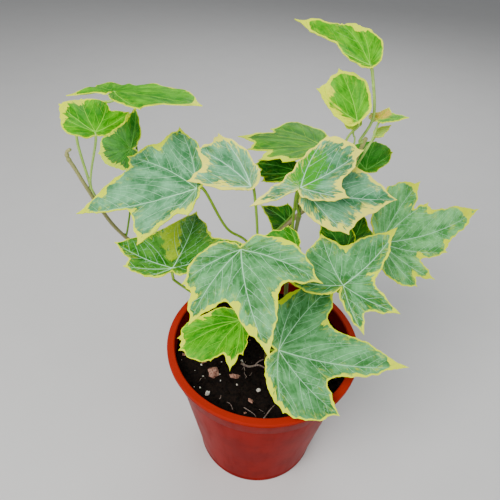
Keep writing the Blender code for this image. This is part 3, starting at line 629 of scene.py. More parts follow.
def isInside(points, outline):
    # counts how often a line from each point crosses the outline
    ax, ay = outline[:, 0][None], outline[:, 1][None]
    bx, by = np.roll(outline[:, 0], -1)[None], np.roll(outline[:, 1], -1)[None]
    rise = np.where(by == ay, 1e-9, by - ay)
    hits = np.zeros(len(points), bool)
    for begin in range(0, len(points), batch):
        some = slice(begin, begin + batch)
        x, y = points[some, :1], points[some, 1:]
        crosses = ((ay > y) != (by > y)) & (x < (bx - ax) * (y - ay) / rise + ax)
        hits[some] = crosses.sum(1) % 2 == 1
    return hits


def segmentDistance(points, starts, ends):
    # shortest distance from each point to any segment, and which segment it is
    best = np.full(len(points), 1e9)
    which = np.zeros(len(points), int)
    span = ends - starts
    size = np.maximum((span ** 2).sum(1), 1e-12)
    for begin in range(0, len(points), batch):
        some = slice(begin, begin + batch)
        rel = points[some][:, None] - starts[None]
        t = np.clip((rel * span[None]).sum(2) / size[None], 0, 1)
        d = np.sqrt(((rel - span[None] * t[..., None]) ** 2).sum(2))
        which[some] = d.argmin(1)
        best[some] = d.min(1)
    return best, which


# veins: widths and lengths in mm, from the start of a vein to its end
veinRules = dict(step=0.65, mainReach=0.97, mainBow=0.05, mainWidth=(0.46, 0.15), mainSize=(0.3, 0.5),
                 sideWidth=(0.19, 0.11), sideStrength=(0.45, 0.85), spacing=6.0, angle=(42, -8),
                 curl=0.012, jitter=0.15, stagger=0.25, first=0.8, beyond=0.6, mostSteps=60, fewest=5,
                 meet=0.9, ridgeGap=1.6, tailFade=3.0)


def joinLines(paths):
    # every segment of several lines, as its start and end points
    return np.concatenate([p[:-1] for p in paths]), np.concatenate([p[1:] for p in paths])


def sideVein(path, walls, outline, share, hand):
    # grows off a main vein until it leaves the blade or nears another main vein
    r = veinRules
    at = int(share * (len(path) - 1))
    ahead = path[min(at + 2, len(path) - 1)] - path[at - 1]
    turn = math.atan2(ahead[1], ahead[0]) + hand * math.radians(r["angle"][0] + r["angle"][1] * share)
    spot, trail = path[at].copy(), [path[at].copy()]
    for _ in range(r["mostSteps"]):
        turn -= hand * r["curl"]
        spot = spot + np.array((math.cos(turn), math.sin(turn))) * r["step"]
        own, _ = segmentDistance(spot[None], path[:-1], path[1:])
        if walls and len(trail) > 3:
            far, _ = segmentDistance(spot[None], *walls)
            if far[0] < own[0] * r["meet"]:
                break
        if not isInside(spot[None], outline)[0]:
            break
        trail.append(spot.copy())
    return trail


def veinLines(leaf, outline, seed):
    # main veins to each lobe tip, side veins off each one; every line is
    # (points, start and end width, strength)
    r = veinRules
    draw = random.Random(int(seed * 100))
    longest = max(reach for _, reach in leaf["lobes"])
    lines, mains = [], []
    for angle, reach in leaf["lobes"]:
        turn = math.radians(angle)
        tip = np.array((math.cos(turn), math.sin(turn))) * reach * r["mainReach"]
        side = np.array((-tip[1], tip[0])) * r["mainBow"] * (1 if angle > 0 else -1)
        t = np.linspace(0, 1, max(4, int(reach / r["step"])) + 1)[:, None]
        path = tip * t + side * (4 * t * (1 - t))
        size = r["mainSize"][0] + r["mainSize"][1] * reach / longest
        mains.append(path)
        lines.append((path, r["mainWidth"][0] * size, r["mainWidth"][1], 1.0))
    for index, (path, (_, reach)) in enumerate(zip(mains, leaf["lobes"])):
        others = mains[:index] + mains[index + 1:]
        walls = joinLines(others) if others else None
        count = max(2, int(reach / r["spacing"]))
        for step in range(count):
            for hand in (-1, 1):
                wander = draw.uniform(-r["jitter"], r["jitter"])
                share = (step + r["first"] + r["stagger"] * hand + wander) / (count + r["beyond"])
                trail = sideVein(path, walls, outline, share, hand)
                if len(trail) > r["fewest"]:
                    strength = draw.uniform(*r["sideStrength"])
                    lines.append((np.array(trail[:-1]), *r["sideWidth"], strength))
    return lines, mains


class PointField:
    # points of a blade, each clear of the ones before it
    cell = 0.7

    def __init__(self):
        self.kept, self.cells = [], {}

    def offer(self, point, clear):
        # keeps a point that is clear of the others and returns its place in the list
        column, row = int(point[0] // self.cell), int(point[1] // self.cell)
        for i in (-1, 0, 1):
            for j in (-1, 0, 1):
                for other in self.cells.get((column + i, row + j), ()):
                    if (other[0] - point[0]) ** 2 + (other[1] - point[1]) ** 2 < clear * clear:
                        return None
        self.cells.setdefault((column, row), []).append(point)
        self.kept.append(point)
        return len(self.kept) - 1


def bladePoints(outline, lines):
    # edge first, then the middle and both flanks of each vein, then a loose grid; also gives
    # the pairs of points that run along a vein
    r = bladeRules
    field = PointField()
    for point in outline:
        field.offer(point, 0.0)
    midlines, flanks = [], []
    for path, wide, thin, _ in lines:
        slope = np.gradient(path, axis=0)
        across = np.stack((-slope[:, 1], slope[:, 0]), 1)
        across /= np.maximum(np.linalg.norm(across, axis=1, keepdims=True), 1e-9)
        midlines.append(path)
        for hand in (-1, 1):
            flanks.append(path + across * np.linspace(wide, thin, len(path))[:, None] * hand)
    low, high = outline.min(0), outline.max(0)
    gridX, gridY = np.meshgrid(*[np.arange(low[axis], high[axis], r["gridStep"]) for axis in (0, 1)])
    gridX[1::2] += r["gridStep"] / 2
    grid = np.stack((gridX.ravel(), gridY.ravel()), 1)
    ridges, longest = [], veinRules["step"] * veinRules["ridgeGap"]
    rows = [(line, r["veinClear"]) for line in midlines + flanks] + [(grid, r["gridClear"])]
    for points, clear in rows:
        good = isInside(points, outline)
        away, _ = segmentDistance(points, outline, np.roll(outline, -1, 0))
        before = None
        for point, ok, d in zip(points, good, away):
            here = field.offer(point, clear) if ok and d > max(clear, r["edgeClear"]) else None
            if here is not None and before is not None and points is not grid:
                if math.dist(field.kept[before], field.kept[here]) < longest:
                    ridges.append((before, here))
            before = here if here is not None else before
    return field.kept, ridges


def veinStrength(points, lines):
    # 1 on the middle of a vein, 0 at its flanks, fading over the last third of its length
    vein = np.zeros(len(points))
    for path, wide, thin, strength in lines:
        box = (points >= path.min(0) - 1).all(1) & (points <= path.max(0) + 1).all(1)
        if box.any():
            d, at = segmentDistance(points[box], path[:-1], path[1:])
            width = wide + (thin - wide) * at / max(len(path) - 2, 1)
            fade = np.clip((1.0 - at / len(path)) * veinRules["tailFade"], 0, 1)
            vein[box] = np.maximum(vein[box], np.clip(1 - d / width, 0, 1) * strength * fade)
    return vein


def bladeHeight(leaf, x, y, radius, angle, edgeGap, mainGap, seed):
    # folded along the middle, sagging to the tips, quilted between the veins, waved at the edge
    r = bladeRules
    length = max(reach for _, reach in leaf["lobes"])
    fold = r["foldStart"] * length
    z = leaf.get("fold", r["fold"]) * (np.sqrt(y * y + fold * fold) - fold)
    z = z - leaf.get("sag", r["sag"]) * (x * x + y * y) / length
    room = min(1.0, length / r["fullSize"])
    z = z + leaf.get("crease", r["crease"]) * room * (1 - np.exp(-(mainGap / r["creaseReach"]) ** 2))
    z = z + r["wave"] * room * np.sin(angle * r["waveCount"] + seed) * np.exp(-edgeGap / r["waveReach"])
    size = r["lumpSize"]
    z = z + r["lump"] * np.array([noise.noise(Vector((a / size, b / size, seed))) for a, b in zip(x, y)])
    # the blade stays at its joint where the stalk meets it
    return z * np.clip(radius / r["jointFlat"], 0, 1)


def spread(x, y, spots):
    # 1 in the middle of each (angle, reach, radius) spot, falling off around it
    total = np.zeros(len(x))
    for angle, reach, size in spots:
        turn = math.radians(angle)
        d2 = (x - reach * math.cos(turn)) ** 2 + (y - reach * math.sin(turn)) ** 2
        total = np.maximum(total, np.exp(-d2 / (size * size)))
    return total


def growBlade(leaf, seed):
    r = bladeRules
    outline = np.array([tuple(p) for p in bladeOutline(leaf, seed)])
    lines, mains = veinLines(leaf, outline, seed)
    kept, ridges = bladePoints(outline, lines)
    count = len(outline)
    edges = [(i, (i + 1) % count) for i in range(count)] + ridges
    flatVerts, _, triangles, *_ = delaunay_2d_cdt([Vector(p) for p in kept], edges, [list(range(count))],
                                                  1, 1e-5)
    points = np.array([tuple(v) for v in flatVerts])
    x, y = points[:, 0], points[:, 1]
    radius, angle = np.hypot(x, y), np.arctan2(y, x)
    edgeGap, _ = segmentDistance(points, outline, np.roll(outline, -1, 0))
    mainGap, _ = segmentDistance(points, *joinLines(mains))
    z = bladeHeight(leaf, x, y, radius, angle, edgeGap, mainGap, seed)
    scale = r["flatScale"]
    fields = dict(
        edge=edgeGap, vein=veinStrength(points, lines),
        # painted shade: darkening in the creased valleys beside the main veins
        beside=np.exp(-((mainGap - r["besideAt"]) / r["besideWidth"]) ** 2),
        wide=spread(x, y, leaf.get("patches", ())), zone=spread(x, y, leaf.get("zones", ())),
        flat=np.stack((x / scale + seed, y / scale - seed, np.full(len(x), seed)), 1),
        ray=np.stack((angle / r["rayTurn"], radius / r["rayLength"], np.full(len(x), seed * 1.7)), 1))
    # upper face, under face and the rim between them
    half, total = r["thickness"] / 2, len(points)
    verts = [Vector((a, b, c + side)) for side in (half, -half) for a, b, c in zip(x, y, z)]
    top = [tuple(f) for f in triangles]
    first = points[list(top[0])]
    if np.cross(first[1] - first[0], first[2] - first[0]) < 0:
        top = [f[::-1] for f in top]
    under = [tuple(i + total for i in f[::-1]) for f in top]
    sides = {(a, b) for f in top for a, b in zip(f, f[1:] + f[:1])}
    rim = sorted((b, a, a + total, b + total) for a, b in sides if (b, a) not in sides)
    slots = [0] * len(top) + [1] * len(under) + [0] * len(rim)
    return verts, top + under + rim, slots, {label: np.concatenate((v, v)) for label, v in fields.items()}


# stalks: radius, how it swells at the vine and thins between, and how it leaves blade and vine
stalkRules = dict(
    radius=0.7, swell=0.45, swellLength=0.06, thin=0.12, least=0.55, sizeOver=70.0,
    leave=(-0.6, 0.0, -0.8), sunk=0.6, neck=(4.0, 0.3), foot=(1.5, 0.15), bow=0.08, steps=7, sides=10,
    grain=(1.5, 6.0), low=0.85, high=0.7, fibre=1.35)


def stalkPath(leaf, turn):
    r = stalkRules
    joint = Vector(leaf["joint"])
    leave = turn.to_matrix() @ Vector(r["leave"])
    onVine, along = vineAt(leaf["vine"], leaf["share"])
    via = [Vector(point) for point in leaf.get("via", ())]
    toward = (via[-1] if via else joint) - onVine
    side = (toward - along * toward.dot(along)).normalized()
    vine = vines[leaf["vine"]]
    end = onVine + side * (vine["foot"] + (vine["end"] - vine["foot"]) * leaf["share"]) * r["sunk"]
    reach = (joint - end).length
    neck = joint + leave * min(r["neck"][0], reach * r["neck"][1])
    foot = end + side * min(r["foot"][0], reach * r["foot"][1])
    if not via:
        via = [neck * 0.5 + foot * 0.5 + (leave - side) * reach * r["bow"]]
    return smoothPath([joint, neck, *via, foot, end], r["steps"])


def stalkRadii(leaf, count):
    r = stalkRules
    size = min(1.0, r["least"] + max(reach for _, reach in leaf["lobes"]) / r["sizeOver"])
    shares = [i / (count - 1) for i in range(count)]
    return [r["radius"] * size * (1.0 + r["swell"] * math.exp(-((share - 1.0) / r["swellLength"]) ** 2)
                                  - r["thin"] * math.sin(math.pi * share)) for share in shares]


def shade(tint, share):
    return [min(1, c * share) for c in tint]


def rodGrain(verts, grain):
    # pattern places of a rod, drawn out along its height
    across, upward = grain
    return np.array([(v.x / across, v.y / across, v.z / upward) for v in verts])


def buildLeaf(name, leaf, seed):
    r = stalkRules
    look = {**finishes[leaf["look"]], **{k: v for k, v in leaf.items() if k in finishes[leaf["look"]]}}
    verts, faces, slots, fields = growBlade(leaf, seed)
    roll, pitch, heading = (math.radians(leaf[key]) for key in ("roll", "pitch", "heading"))
    turn = Euler((roll, -pitch, heading), "XYZ")
    place = Matrix.Translation(leaf["joint"]) @ turn.to_matrix().to_4x4()
    path = stalkPath(leaf, turn)
    rod, rodFaces, along = tubeParts(path, stalkRadii(leaf, len(path)), r["sides"])
    start = len(verts)
    faces = faces + [tuple(i + start for i in f) for f in rodFaces]
    slots = slots + [2] * len(rodFaces)
    fields["along"] = np.zeros(start)
    onRod = dict(flat=rodGrain(rod, r["grain"]), along=along)
    fields = {label: np.concatenate((values, onRod.get(label, np.zeros((len(rod), *values.shape[1:])))))
              for label, values in fields.items()}
    stalkTints = [shade(look["stalk"], r[key]) for key in ("low", "high", "fibre")]
    materials = [bladeMaterial(name + "_top", look), bladeMaterial(name + "_under", look, True),
                 stemMaterial(name + "_stalk", *stalkTints)]
    piece = meshObject(name + "_blade", [place @ v for v in verts] + rod, faces, materials, slots, fields)
    piece.data.set_sharp_from_angle(angle=math.radians(bladeRules["sharp"]))
    settle(piece, look["slot"], name)


firstSeed, seedStep = 1.37, 2.11  # each leaf draws its own edge, veins and marbling
for order, (leafName, leafSizes) in enumerate(leaves.items()):
    buildLeaf(leafName, leafSizes, firstSeed + order * seedStep)
print("leaves grown:", len(leaves))


def buildVine(name, vine):
    r = vineRules
    path = vinePoints(name, r["fineSteps"])
    joints = [leaf["share"] for leaf in leaves.values() if leaf["vine"] == name]
    radii = []
    for index in range(len(path)):
        share = index / (len(path) - 1)
        radius = vine["foot"] + (vine["end"] - vine["foot"]) * share
        knot = max([math.exp(-((share - s) / r["knotLength"]) ** 2) for s in joints] + [0.0])
        lump = noise.noise(Vector((share * r["lumpCount"], vine["foot"], 2.0)))
        radii.append(radius * (r["body"] + r["knot"] * knot + r["lump"] * lump))
    verts, faces, along = tubeParts(path, radii, r["sides"])
    finish = stemMaterial(name + "_bark", vine["low"], vine["high"], shade(vine["low"], r["fibreLift"]))
    piece = meshObject(name + "_stem", verts, faces, [finish],
                       attributes=dict(along=along, flat=rodGrain(verts, r["grain"])))
    settle(piece, "vine", name)


for vineName, vineSizes in vines.items():
    buildVine(vineName, vineSizes)
print("vines grown")


# pot: a turned plastic shell. Heights and radii in mm; texture scales are per metre.
potSizes = dict(
    height=86.0, rim=50.0, lipWidth=4.0, lipDepth=2.4, collar=13.0, collarStep=1.4, foot=33.5, wall=1.2,
    taperGap=1.0, floorRise=2.0, floorThickness=1.5, ring=3.0, pad=12.0, holes=8, holeRadius=4.0,
    holeCircle=21.0, cutDepth=5.0, cutMiddle=3.0, sides=160, rounding=0.35, bevelAngle=24, sharp=50,
    rimHighlightBand=(2.8, 0.8), dustHeight=30.0)
potTints = dict(
    deep=(0.20, 0.0022, 0.0004, 1), bright=(0.27, 0.0040, 0.0008, 1), streak=(0.15, 0.0016, 0.0003, 1),
    # rim: painted highlight, the top of the rim painted paler where light falls on it
    rim=(0.40, 0.022, 0.008, 1), dust=(0.24, 0.010, 0.003, 1))


def outerRadius(z):
    top = potSizes["rim"] - potSizes["taperGap"] - potSizes["collarStep"]
    return potSizes["foot"] + (top - potSizes["foot"]) * z / potSizes["height"]


def potMaterial():
    made, tree, shader = newMaterial("redPotPlastic")
    place = objectPlace(tree)
    height = addNode(tree, "ShaderNodeSeparateXYZ", {0: place}).outputs["Z"]
    grain = noiseOf(tree, place, 900.0, 2.0, 0.6)
    streakPlace = addNode(tree, "ShaderNodeVectorMath", {0: place, 1: (260.0, 260.0, 14.0)},
                          operation="MULTIPLY").outputs[0]
    streaks = noiseOf(tree, streakPlace, 1.0, 3.0)
    mottled = ramp(tree, noiseOf(tree, place, 60.0, 4.0, 0.6), 0.35, 0.68)
    red = blendColour(tree, mottled, potTints["deep"], potTints["bright"])
    red = blendColour(tree, times(tree, ramp(tree, streaks, 0.5, 0.75), 0.25), red, potTints["streak"])
    # the top of the rolled rim is painted paler, a painted highlight where light falls on it, and dust
    # settles low on the pot
    rimStart, rimEnd = [(potSizes["height"] - down) * mm for down in potSizes["rimHighlightBand"]]
    rimHighlightShare = times(tree, ramp(tree, height, rimStart, rimEnd), 0.85)
    red = blendColour(tree, rimHighlightShare, red, potTints["rim"])
    dust = ramp(tree, noiseOf(tree, place, 420.0, 5.0, 0.75), 0.60, 0.72)
    low = ramp(tree, height, 0.0, potSizes["dustHeight"] * mm, 0.30, 0.06)
    red = blendColour(tree, times(tree, dust, low), red, potTints["dust"])
    tree.links.new(red, shader.inputs["Base Color"])
    shader.inputs["Specular IOR Level"].default_value = 0.12
    shader.inputs["IOR"].default_value = 1.18
    worn = plus(tree, times(tree, streaks, 0.6), times(tree, dust, 0.4))
    tree.links.new(ramp(tree, worn, 0.2, 0.7, 0.30, 0.48), shader.inputs["Roughness"])
    addBump(tree, shader, plus(tree, times(tree, grain, 0.3), streaks), 0.35, 0.12 * mm)
    return made


def potProfile():
    # (radius, height) from the lip, down the outside, under the floor and up the inside
    p = potSizes
    step = p["height"] - p["collar"]
    lipBottom = p["height"] - p["lipDepth"]
    floorTop = p["floorRise"] + p["floorThickness"]
    ringIn, lipIn = p["foot"] - p["ring"], p["rim"] - p["lipWidth"]
    collarUp, collarDown = outerRadius(lipBottom) + p["collarStep"], outerRadius(step) + p["collarStep"]
    outside = [
        (lipIn, p["height"] - 0.6), (lipIn + 0.5, p["height"]), (p["rim"] - 0.4, p["height"]),
        (p["rim"], p["height"] - 0.5), (p["rim"], lipBottom + 0.3), (p["rim"] - 0.4, lipBottom),
        (collarUp - 0.2, lipBottom - 0.2), (collarDown, step + 0.5), (collarDown - 0.3, step),
        (outerRadius(step), step - 0.4), (outerRadius(40), 40), (outerRadius(4.5), 4.5),
        (p["foot"] + 0.65, 2.6), (p["foot"] + 0.75, 1.6), (p["foot"] + 0.5, 0.5), (p["foot"] - 0.1, 0.0),
        (ringIn, 0.0), (ringIn - 0.4, p["floorRise"]), (p["pad"] + 0.4, p["floorRise"]), (p["pad"], 0.0),
        (0.0, 0.0)]
    inside = [
        (0.0, floorTop), (outerRadius(floorTop) - p["wall"], floorTop),
        (outerRadius(step) - p["wall"], step + 0.6), (collarDown - p["wall"], step + 1.6),
        (collarUp - 0.4 - p["wall"], p["height"] - 1.4)]
    return outside + inside


def turnedMesh(name, rings, sides):
    # turns a closed profile about the upright axis; a radius of 0 is one point
    shell = bmesh.new()
    grid = []
    for radius, z in rings:
        turns = [math.tau * k / sides for k in range(sides)] if radius else [0.0]
        grid.append([shell.verts.new((*onCircle(turn, radius * mm), z * mm)) for turn in turns])
    for a, b in zip(grid, grid[1:] + grid[:1]):
        for k in range(sides if len(a) > 1 or len(b) > 1 else 0):
            after = (k + 1) % sides
            if len(a) == 1:
                shell.faces.new((a[0], b[k], b[after]))
            elif len(b) == 1:
                shell.faces.new((a[k], b[0], a[after]))
            else:
                shell.faces.new((a[k], b[k], b[after], a[after]))
    bmesh.ops.recalc_face_normals(shell, faces=shell.faces)
    mesh = bpy.data.meshes.new(name)
    shell.to_mesh(mesh)
    shell.free()
    return mesh


def drainCutter():
    # all the drain holes as one mesh of pegs
    p = potSizes
    pegs = bmesh.new()
    for index in range(p["holes"]):
        spot = onCircle(math.tau * (index + 0.5) / p["holes"], p["holeCircle"])
        bmesh.ops.create_cone(
            pegs, cap_ends=True, segments=32, radius1=p["holeRadius"] * mm, radius2=p["holeRadius"] * mm,
            depth=p["cutDepth"] * mm, matrix=Matrix.Translation(Vector((*spot, p["cutMiddle"])) * mm))
    mesh = bpy.data.meshes.new("drainCutter")
    pegs.to_mesh(mesh)
    pegs.free()
    return addObject("drainCutter", mesh)


def buildPot():
    mesh = turnedMesh("potShell", potProfile(), potSizes["sides"])
    mesh.materials.append(potMaterial())
    pot = addObject("potShell", mesh)
    helper = drainCutter()
    cut = pot.modifiers.new("drain", "BOOLEAN")
    cut.operation, cut.solver, cut.object = "DIFFERENCE", "EXACT", helper
    bpy.context.view_layer.update()
    ready = bpy.data.meshes.new_from_object(pot.evaluated_get(bpy.context.evaluated_depsgraph_get()))
    pot.modifiers.clear()
    pot.data = ready
    bpy.data.objects.remove(helper)
    bevel = pot.modifiers.new("softEdges", "BEVEL")
    bevel.width, bevel.segments, bevel.limit_method = potSizes["rounding"] * mm, 3, "ANGLE"
    bevel.angle_limit = math.radians(potSizes["bevelAngle"])
    bevel.use_clamp_overlap = True
    ready.shade_smooth()
    ready.set_sharp_from_angle(angle=math.radians(potSizes["sharp"]))
    settle(pot, "pot", "pot")


buildPot()
print("pot turned")


# potting mix: one humped block and the loose matter on it, in mm
soilSizes = dict(
    relief=0.72, bowl=0.0012, rough=0.8, roughSize=3.2, radius=45.6, rings=56, sides=180,
    shoulder=(6.0, 72, 1.7), base=(75.0, 4, 1.8), spread=44.0, crumbs=1500, perlite=64, bark=30,
    fibres=46, fibreSpread=41, fibreReach=43, fibreLength=(2.5, 8.0), fibreRadius=(0.08, 0.22),
    gritSharp=40, twigSides=6, twigSteps=5, seed=11)
# chips and grains that lie in fixed places: x, y, length, width, height
fixedPerlite = ((-27, -29, 2.6, 2.2, 2.2), (-2, -26, 2.2, 2.0, 1.8))
fixedBark = ((-25, -17, 6.0, 5.0, 3.5), (-30, -9, 4.5, 3.6, 3.0), (-14, -19, 6.0, 2.5, 2.0),
             (-37, -4, 4.0, 3.0, 2.4))
# twigs as (x, y, lift above the soil) points and a radius
smallTwigs = ((((-0.5, -42.5, 0.4), (1.5, -40.5, 1.6), (4, -37, 2.2), (6, -34, 0.6)), 0.3),
              (((-9, -36, 0.4), (-7, -37.5, 0.9), (-4, -39.5, 0.8), (-3, -41, 0.3)), 0.25))
forkedTwig = ((((-11, -12, 1.0), (-7, -13.5, 1.2), (-2, -13, 1.4), (2, -15, 0.9)), 0.65),
              (((-4, -13.2, 1.3), (-2, -11, 1.8), (0.5, -10, 1.9)), 0.4))


def grainMaterial(name, dark, light, rough, scale):
    # one crumbly mineral or woody look, from two tints and the size of its grain
    made, tree, shader = newMaterial(name)
    place = objectPlace(tree)
    coarse = noiseOf(tree, place, scale, 4.0, 0.65)
    fine = noiseOf(tree, place, scale * 5, 3.0, 0.7)
    tint = blendColour(tree, ramp(tree, coarse, 0.35, 0.65), (*dark, 1), (*light, 1))
    tint = blendColour(tree, times(tree, ramp(tree, fine, 0.5, 0.75), 0.45), tint, (*light, 1))
    tree.links.new(tint, shader.inputs["Base Color"])
    shader.inputs["Specular IOR Level"].default_value = 0.12
    tree.links.new(ramp(tree, fine, 0.3, 0.7, rough - 0.15, rough + 0.1), shader.inputs["Roughness"])
    addBump(tree, shader, plus(tree, coarse, times(tree, fine, 0.5)), 0.8, 0.4 * mm)
    return made


soilFinish = grainMaterial("dampPeat", (0.0010, 0.0006, 0.0004), (0.010, 0.005, 0.003), 0.85, 700.0)
perliteFinish = grainMaterial("perliteGrain", (0.50, 0.44, 0.34), (0.86, 0.83, 0.74), 0.75, 1400.0)
barkFinish = grainMaterial("brokenBark", (0.16, 0.055, 0.035), (0.55, 0.30, 0.22), 0.8, 900.0)
fibreFinish = grainMaterial("dryFibre", (0.14, 0.09, 0.07), (0.38, 0.30, 0.26), 0.7, 1200.0)


def surfaceAt(x, y):
    humps = (math.sin(x / 7.0 + 1.0) * math.cos(y / 9.0)
             + 0.6 * math.sin((x + y) / 5.0) * math.cos((x - y) / 6.0 + 0.7))
    size = soilSizes["roughSize"]
    lumps = noise.fractal(Vector((x / size, y / size, 1.0)), 1.0, 2.1, 4) * soilSizes["rough"]
    return soilTop + soilSizes["relief"] * humps - soilSizes["bowl"] * (x * x + y * y) + lumps


def ringOf(radius, sides, heightAt):
    spots = [onCircle(math.tau * k / sides, radius) for k in range(sides)]
    return [Vector((x, y, heightAt(x, y))) for x, y in spots]


def buildSoil():
    s = soilSizes
    sides = s["sides"]
    verts, faces = [Vector((0, 0, surfaceAt(0, 0)))], []
    for ring in range(1, s["rings"] + 1):
        verts += ringOf(s["radius"] * ring / s["rings"], sides, surfaceAt)
    for drop, wallHeight, gap in (s["shoulder"], s["base"]):
        verts += ringOf(outerRadius(wallHeight) - gap, sides, lambda x, y: soilTop - drop)
    for k in range(sides):
        after = (k + 1) % sides
        faces.append((0, 1 + k, 1 + after))
        for ring in range(s["rings"] + 1):
            a, b = 1 + ring * sides, 1 + (ring + 1) * sides
            faces.append((a + k, b + k, b + after, a + after))
    last = 1 + (s["rings"] + 1) * sides
    faces.append(tuple(last + k for k in reversed(range(sides))))
    settle(meshObject("soilBlock", verts, faces, [soilFinish]), "soil", "soil")


def chunk(draw, spot, size, verts, faces, detail):
    # an irregular lump: a squeezed, knocked-about ball
    ball = bmesh.new()
    bmesh.ops.create_icosphere(ball, subdivisions=detail, radius=1.0)
    turn = Euler((draw.uniform(-0.5, 0.5), draw.uniform(-0.5, 0.5), draw.uniform(0, math.tau)))
    start = len(verts)
    seed = draw.uniform(0, 50)
    for v in ball.verts:
        knock = 1.0 + 0.55 * noise.noise(v.co * 1.3 + Vector((seed, 0, 0)))
        co = Vector([a * b for a, b in zip(v.co, size)]) * knock / 2
        co.rotate(turn)
        verts.append(spot + co)
    faces.extend(tuple(start + v.index for v in f.verts) for f in ball.faces)
    ball.free()


def anywhere(draw, reach):
    # an even random place within reach of the middle
    reach, turn = reach * math.sqrt(draw.random()), draw.uniform(0, math.tau)
    return reach * math.cos(turn), reach * math.sin(turn)


def scatter(name, finish, slot, count, sizes, flatness, seed, nodes=(), given=()):
    # lumps in fixed places first, then random ones, more of them small than large
    draw = random.Random(seed)
    verts, faces = [], []
    for x, y, lengthMm, widthMm, highMm in given:
        spot = Vector((x, y, surfaceAt(x, y) + highMm * 0.3))
        chunk(draw, spot, (lengthMm, widthMm, highMm), verts, faces, 2)
    for _ in range(count):
        size = sizes[0] + (sizes[1] - sizes[0]) * draw.random() ** 3
        x, y = anywhere(draw, soilSizes["spread"] - size / 2)
        spot = Vector((x, y, surfaceAt(x, y) + size * flatness * 0.22))
        wide, high = size * draw.uniform(0.55, 0.95), size * draw.uniform(0.6, 1.0)
        chunk(draw, spot, (size, wide, high * flatness), verts, faces, 1)
    piece = meshObject(name, verts, faces, [finish])
    piece.data.set_sharp_from_angle(angle=math.radians(soilSizes["gritSharp"]))
    settle(piece, slot, *nodes)


def twigPiece(name, twigs, nodes=()):
    # rods that thin to their ends and follow the soil
    verts, faces = [], []
    for points, radius in twigs:
        laid = [Vector((x, y, surfaceAt(x, y) + radius + lift)) for x, y, lift in points]
        path = smoothPath(laid, soilSizes["twigSteps"])
        radii = [radius * (1 - 0.5 * i / len(path)) for i in range(len(path))]
        rod, rodFaces, _ = tubeParts(path, radii, soilSizes["twigSides"])
        faces.extend(tuple(len(verts) + i for i in f) for f in rodFaces)
        verts.extend(rod)
    settle(meshObject(name, verts, faces, [fibreFinish]), "twig", *nodes)


def looseFibres():
    # thin roots that wander over the mix
    s = soilSizes
    draw = random.Random(s["seed"] + 5)
    found = []
    for _ in range(s["fibres"]):
        x, y = anywhere(draw, s["fibreSpread"])
        heading, length = draw.uniform(0, math.tau), draw.uniform(*s["fibreLength"])
        points = []
        for _ in range(4):
            points.append((x, y, draw.uniform(0.0, 0.7)))
            heading += draw.uniform(-0.7, 0.7)
            x, y = x + math.cos(heading) * length / 3, y + math.sin(heading) * length / 3
            if math.hypot(x, y) > s["fibreReach"]:
                break
        if len(points) > 2:
            found.append((points, draw.uniform(*s["fibreRadius"])))
    return found


buildSoil()
scatter("peatCrumbs", soilFinish, "soil", soilSizes["crumbs"], (0.5, 2.6), 0.8, soilSizes["seed"])
scatter("perliteGrains", perliteFinish, "perlite", soilSizes["perlite"], (0.5, 2.4), 0.9,
        soilSizes["seed"] + 1, ("perlite_large", "perlite_small"), fixedPerlite)
scatter("barkChips", barkFinish, "bark", soilSizes["bark"], (1.2, 4.0), 0.5, soilSizes["seed"] + 2,
        ("bark_chip_large", "bark_chip_pale", "bark_chip_long", "bark_chip_left"), fixedBark)
twigPiece("rootFibres", [*looseFibres(), *smallTwigs])
twigPiece("dryTwig", forkedTwig, ("twig",))
print("potting mix laid")


# studio: a pale floor, soft sky and three soft lamps, all in metres
stageSizes = dict(floor=3.0, floorTints=((0.66, 0.66, 0.655, 1), (0.70, 0.70, 0.695, 1)), floorRough=0.85,
                  sky=(0.93, 0.96, 1.0, 1), skyPower=0.20, lampTarget=(0, 0, 0.11))


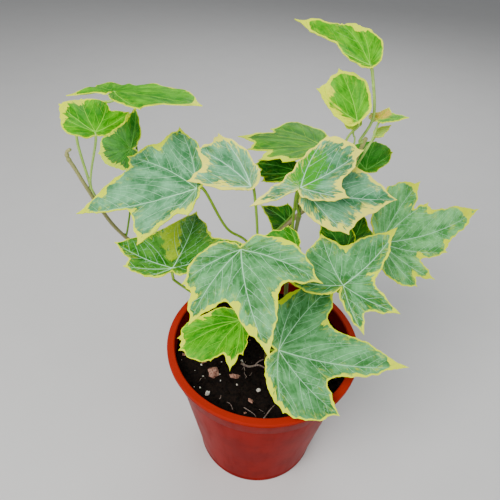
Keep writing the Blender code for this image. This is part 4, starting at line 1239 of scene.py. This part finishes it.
def buildStage():
    data = bpy.data.meshes.new("studioFloor")
    sheet = bmesh.new()
    bmesh.ops.create_grid(sheet, x_segments=2, y_segments=2, size=stageSizes["floor"])
    sheet.to_mesh(data)
    sheet.free()
    made, tree, shader = newMaterial("paleFloor")
    tint = blendColour(tree, noiseOf(tree, objectPlace(tree), 30.0, 3.0), *stageSizes["floorTints"])
    tree.links.new(tint, shader.inputs["Base Color"])
    shader.inputs["Roughness"].default_value = stageSizes["floorRough"]
    data.materials.append(made)
    floor = addObject("studioFloor", data)
    world = bpy.data.worlds.new("softStudio")
    world.use_nodes = True
    sky = world.node_tree.nodes["Background"].inputs
    sky["Color"].default_value, sky["Strength"].default_value = stageSizes["sky"], stageSizes["skyPower"]
    bpy.context.scene.world = world


lamps = {
    "keyLamp": dict(place=(-0.35, -0.45, 0.75), size=0.55, power=9.6, tint=(1.0, 0.98, 0.95)),
    "fillLamp": dict(place=(0.55, -0.35, 0.45), size=0.6, power=1.9, tint=(0.95, 0.98, 1.0)),
    "backLamp": dict(place=(0.1, 0.55, 0.6), size=0.5, power=2.2, tint=(1.0, 1.0, 1.0)),
}
# camera: how far it looks down, turns and tilts in degrees, the rest in mm
cameraSizes = dict(place=(-12.1, -172.4, 289.7), down=39.7, turn=1.0, tilt=2.8, lens=36.0, sensor=36.0,
                   nearest=10.0)


def buildLamps():
    for name, lamp in lamps.items():
        data = bpy.data.lights.new(name, "AREA")
        data.size, data.energy, data.color = lamp["size"], lamp["power"], lamp["tint"]
        made = addObject(name, data)
        made.location = lamp["place"]
        toTarget = Vector(stageSizes["lampTarget"]) - Vector(lamp["place"])
        made.rotation_euler = toTarget.to_track_quat("-Z", "Y").to_euler()


def buildCamera():
    c = cameraSizes
    down, turn, tilt = (math.radians(c[k]) for k in ("down", "turn", "tilt"))
    ahead = Vector((math.sin(turn) * math.cos(down), math.cos(turn) * math.cos(down), -math.sin(down)))
    right = ahead.cross(Vector((0, 0, 1))).normalized()
    up = right.cross(ahead)
    across = right * math.cos(tilt) + up * math.sin(tilt)
    over = up * math.cos(tilt) - right * math.sin(tilt)
    data = bpy.data.cameras.new("viewCamera")
    data.lens, data.sensor_width, data.clip_start = c["lens"], c["sensor"], c["nearest"] * mm
    made = addObject("viewCamera", data)
    facing = Matrix((across, over, -ahead)).transposed().to_4x4()
    made.matrix_world = Matrix.Translation(Vector(c["place"]) * mm) @ facing
    bpy.context.scene.camera = made


buildStage()
buildLamps()
buildCamera()
print("stage lit")
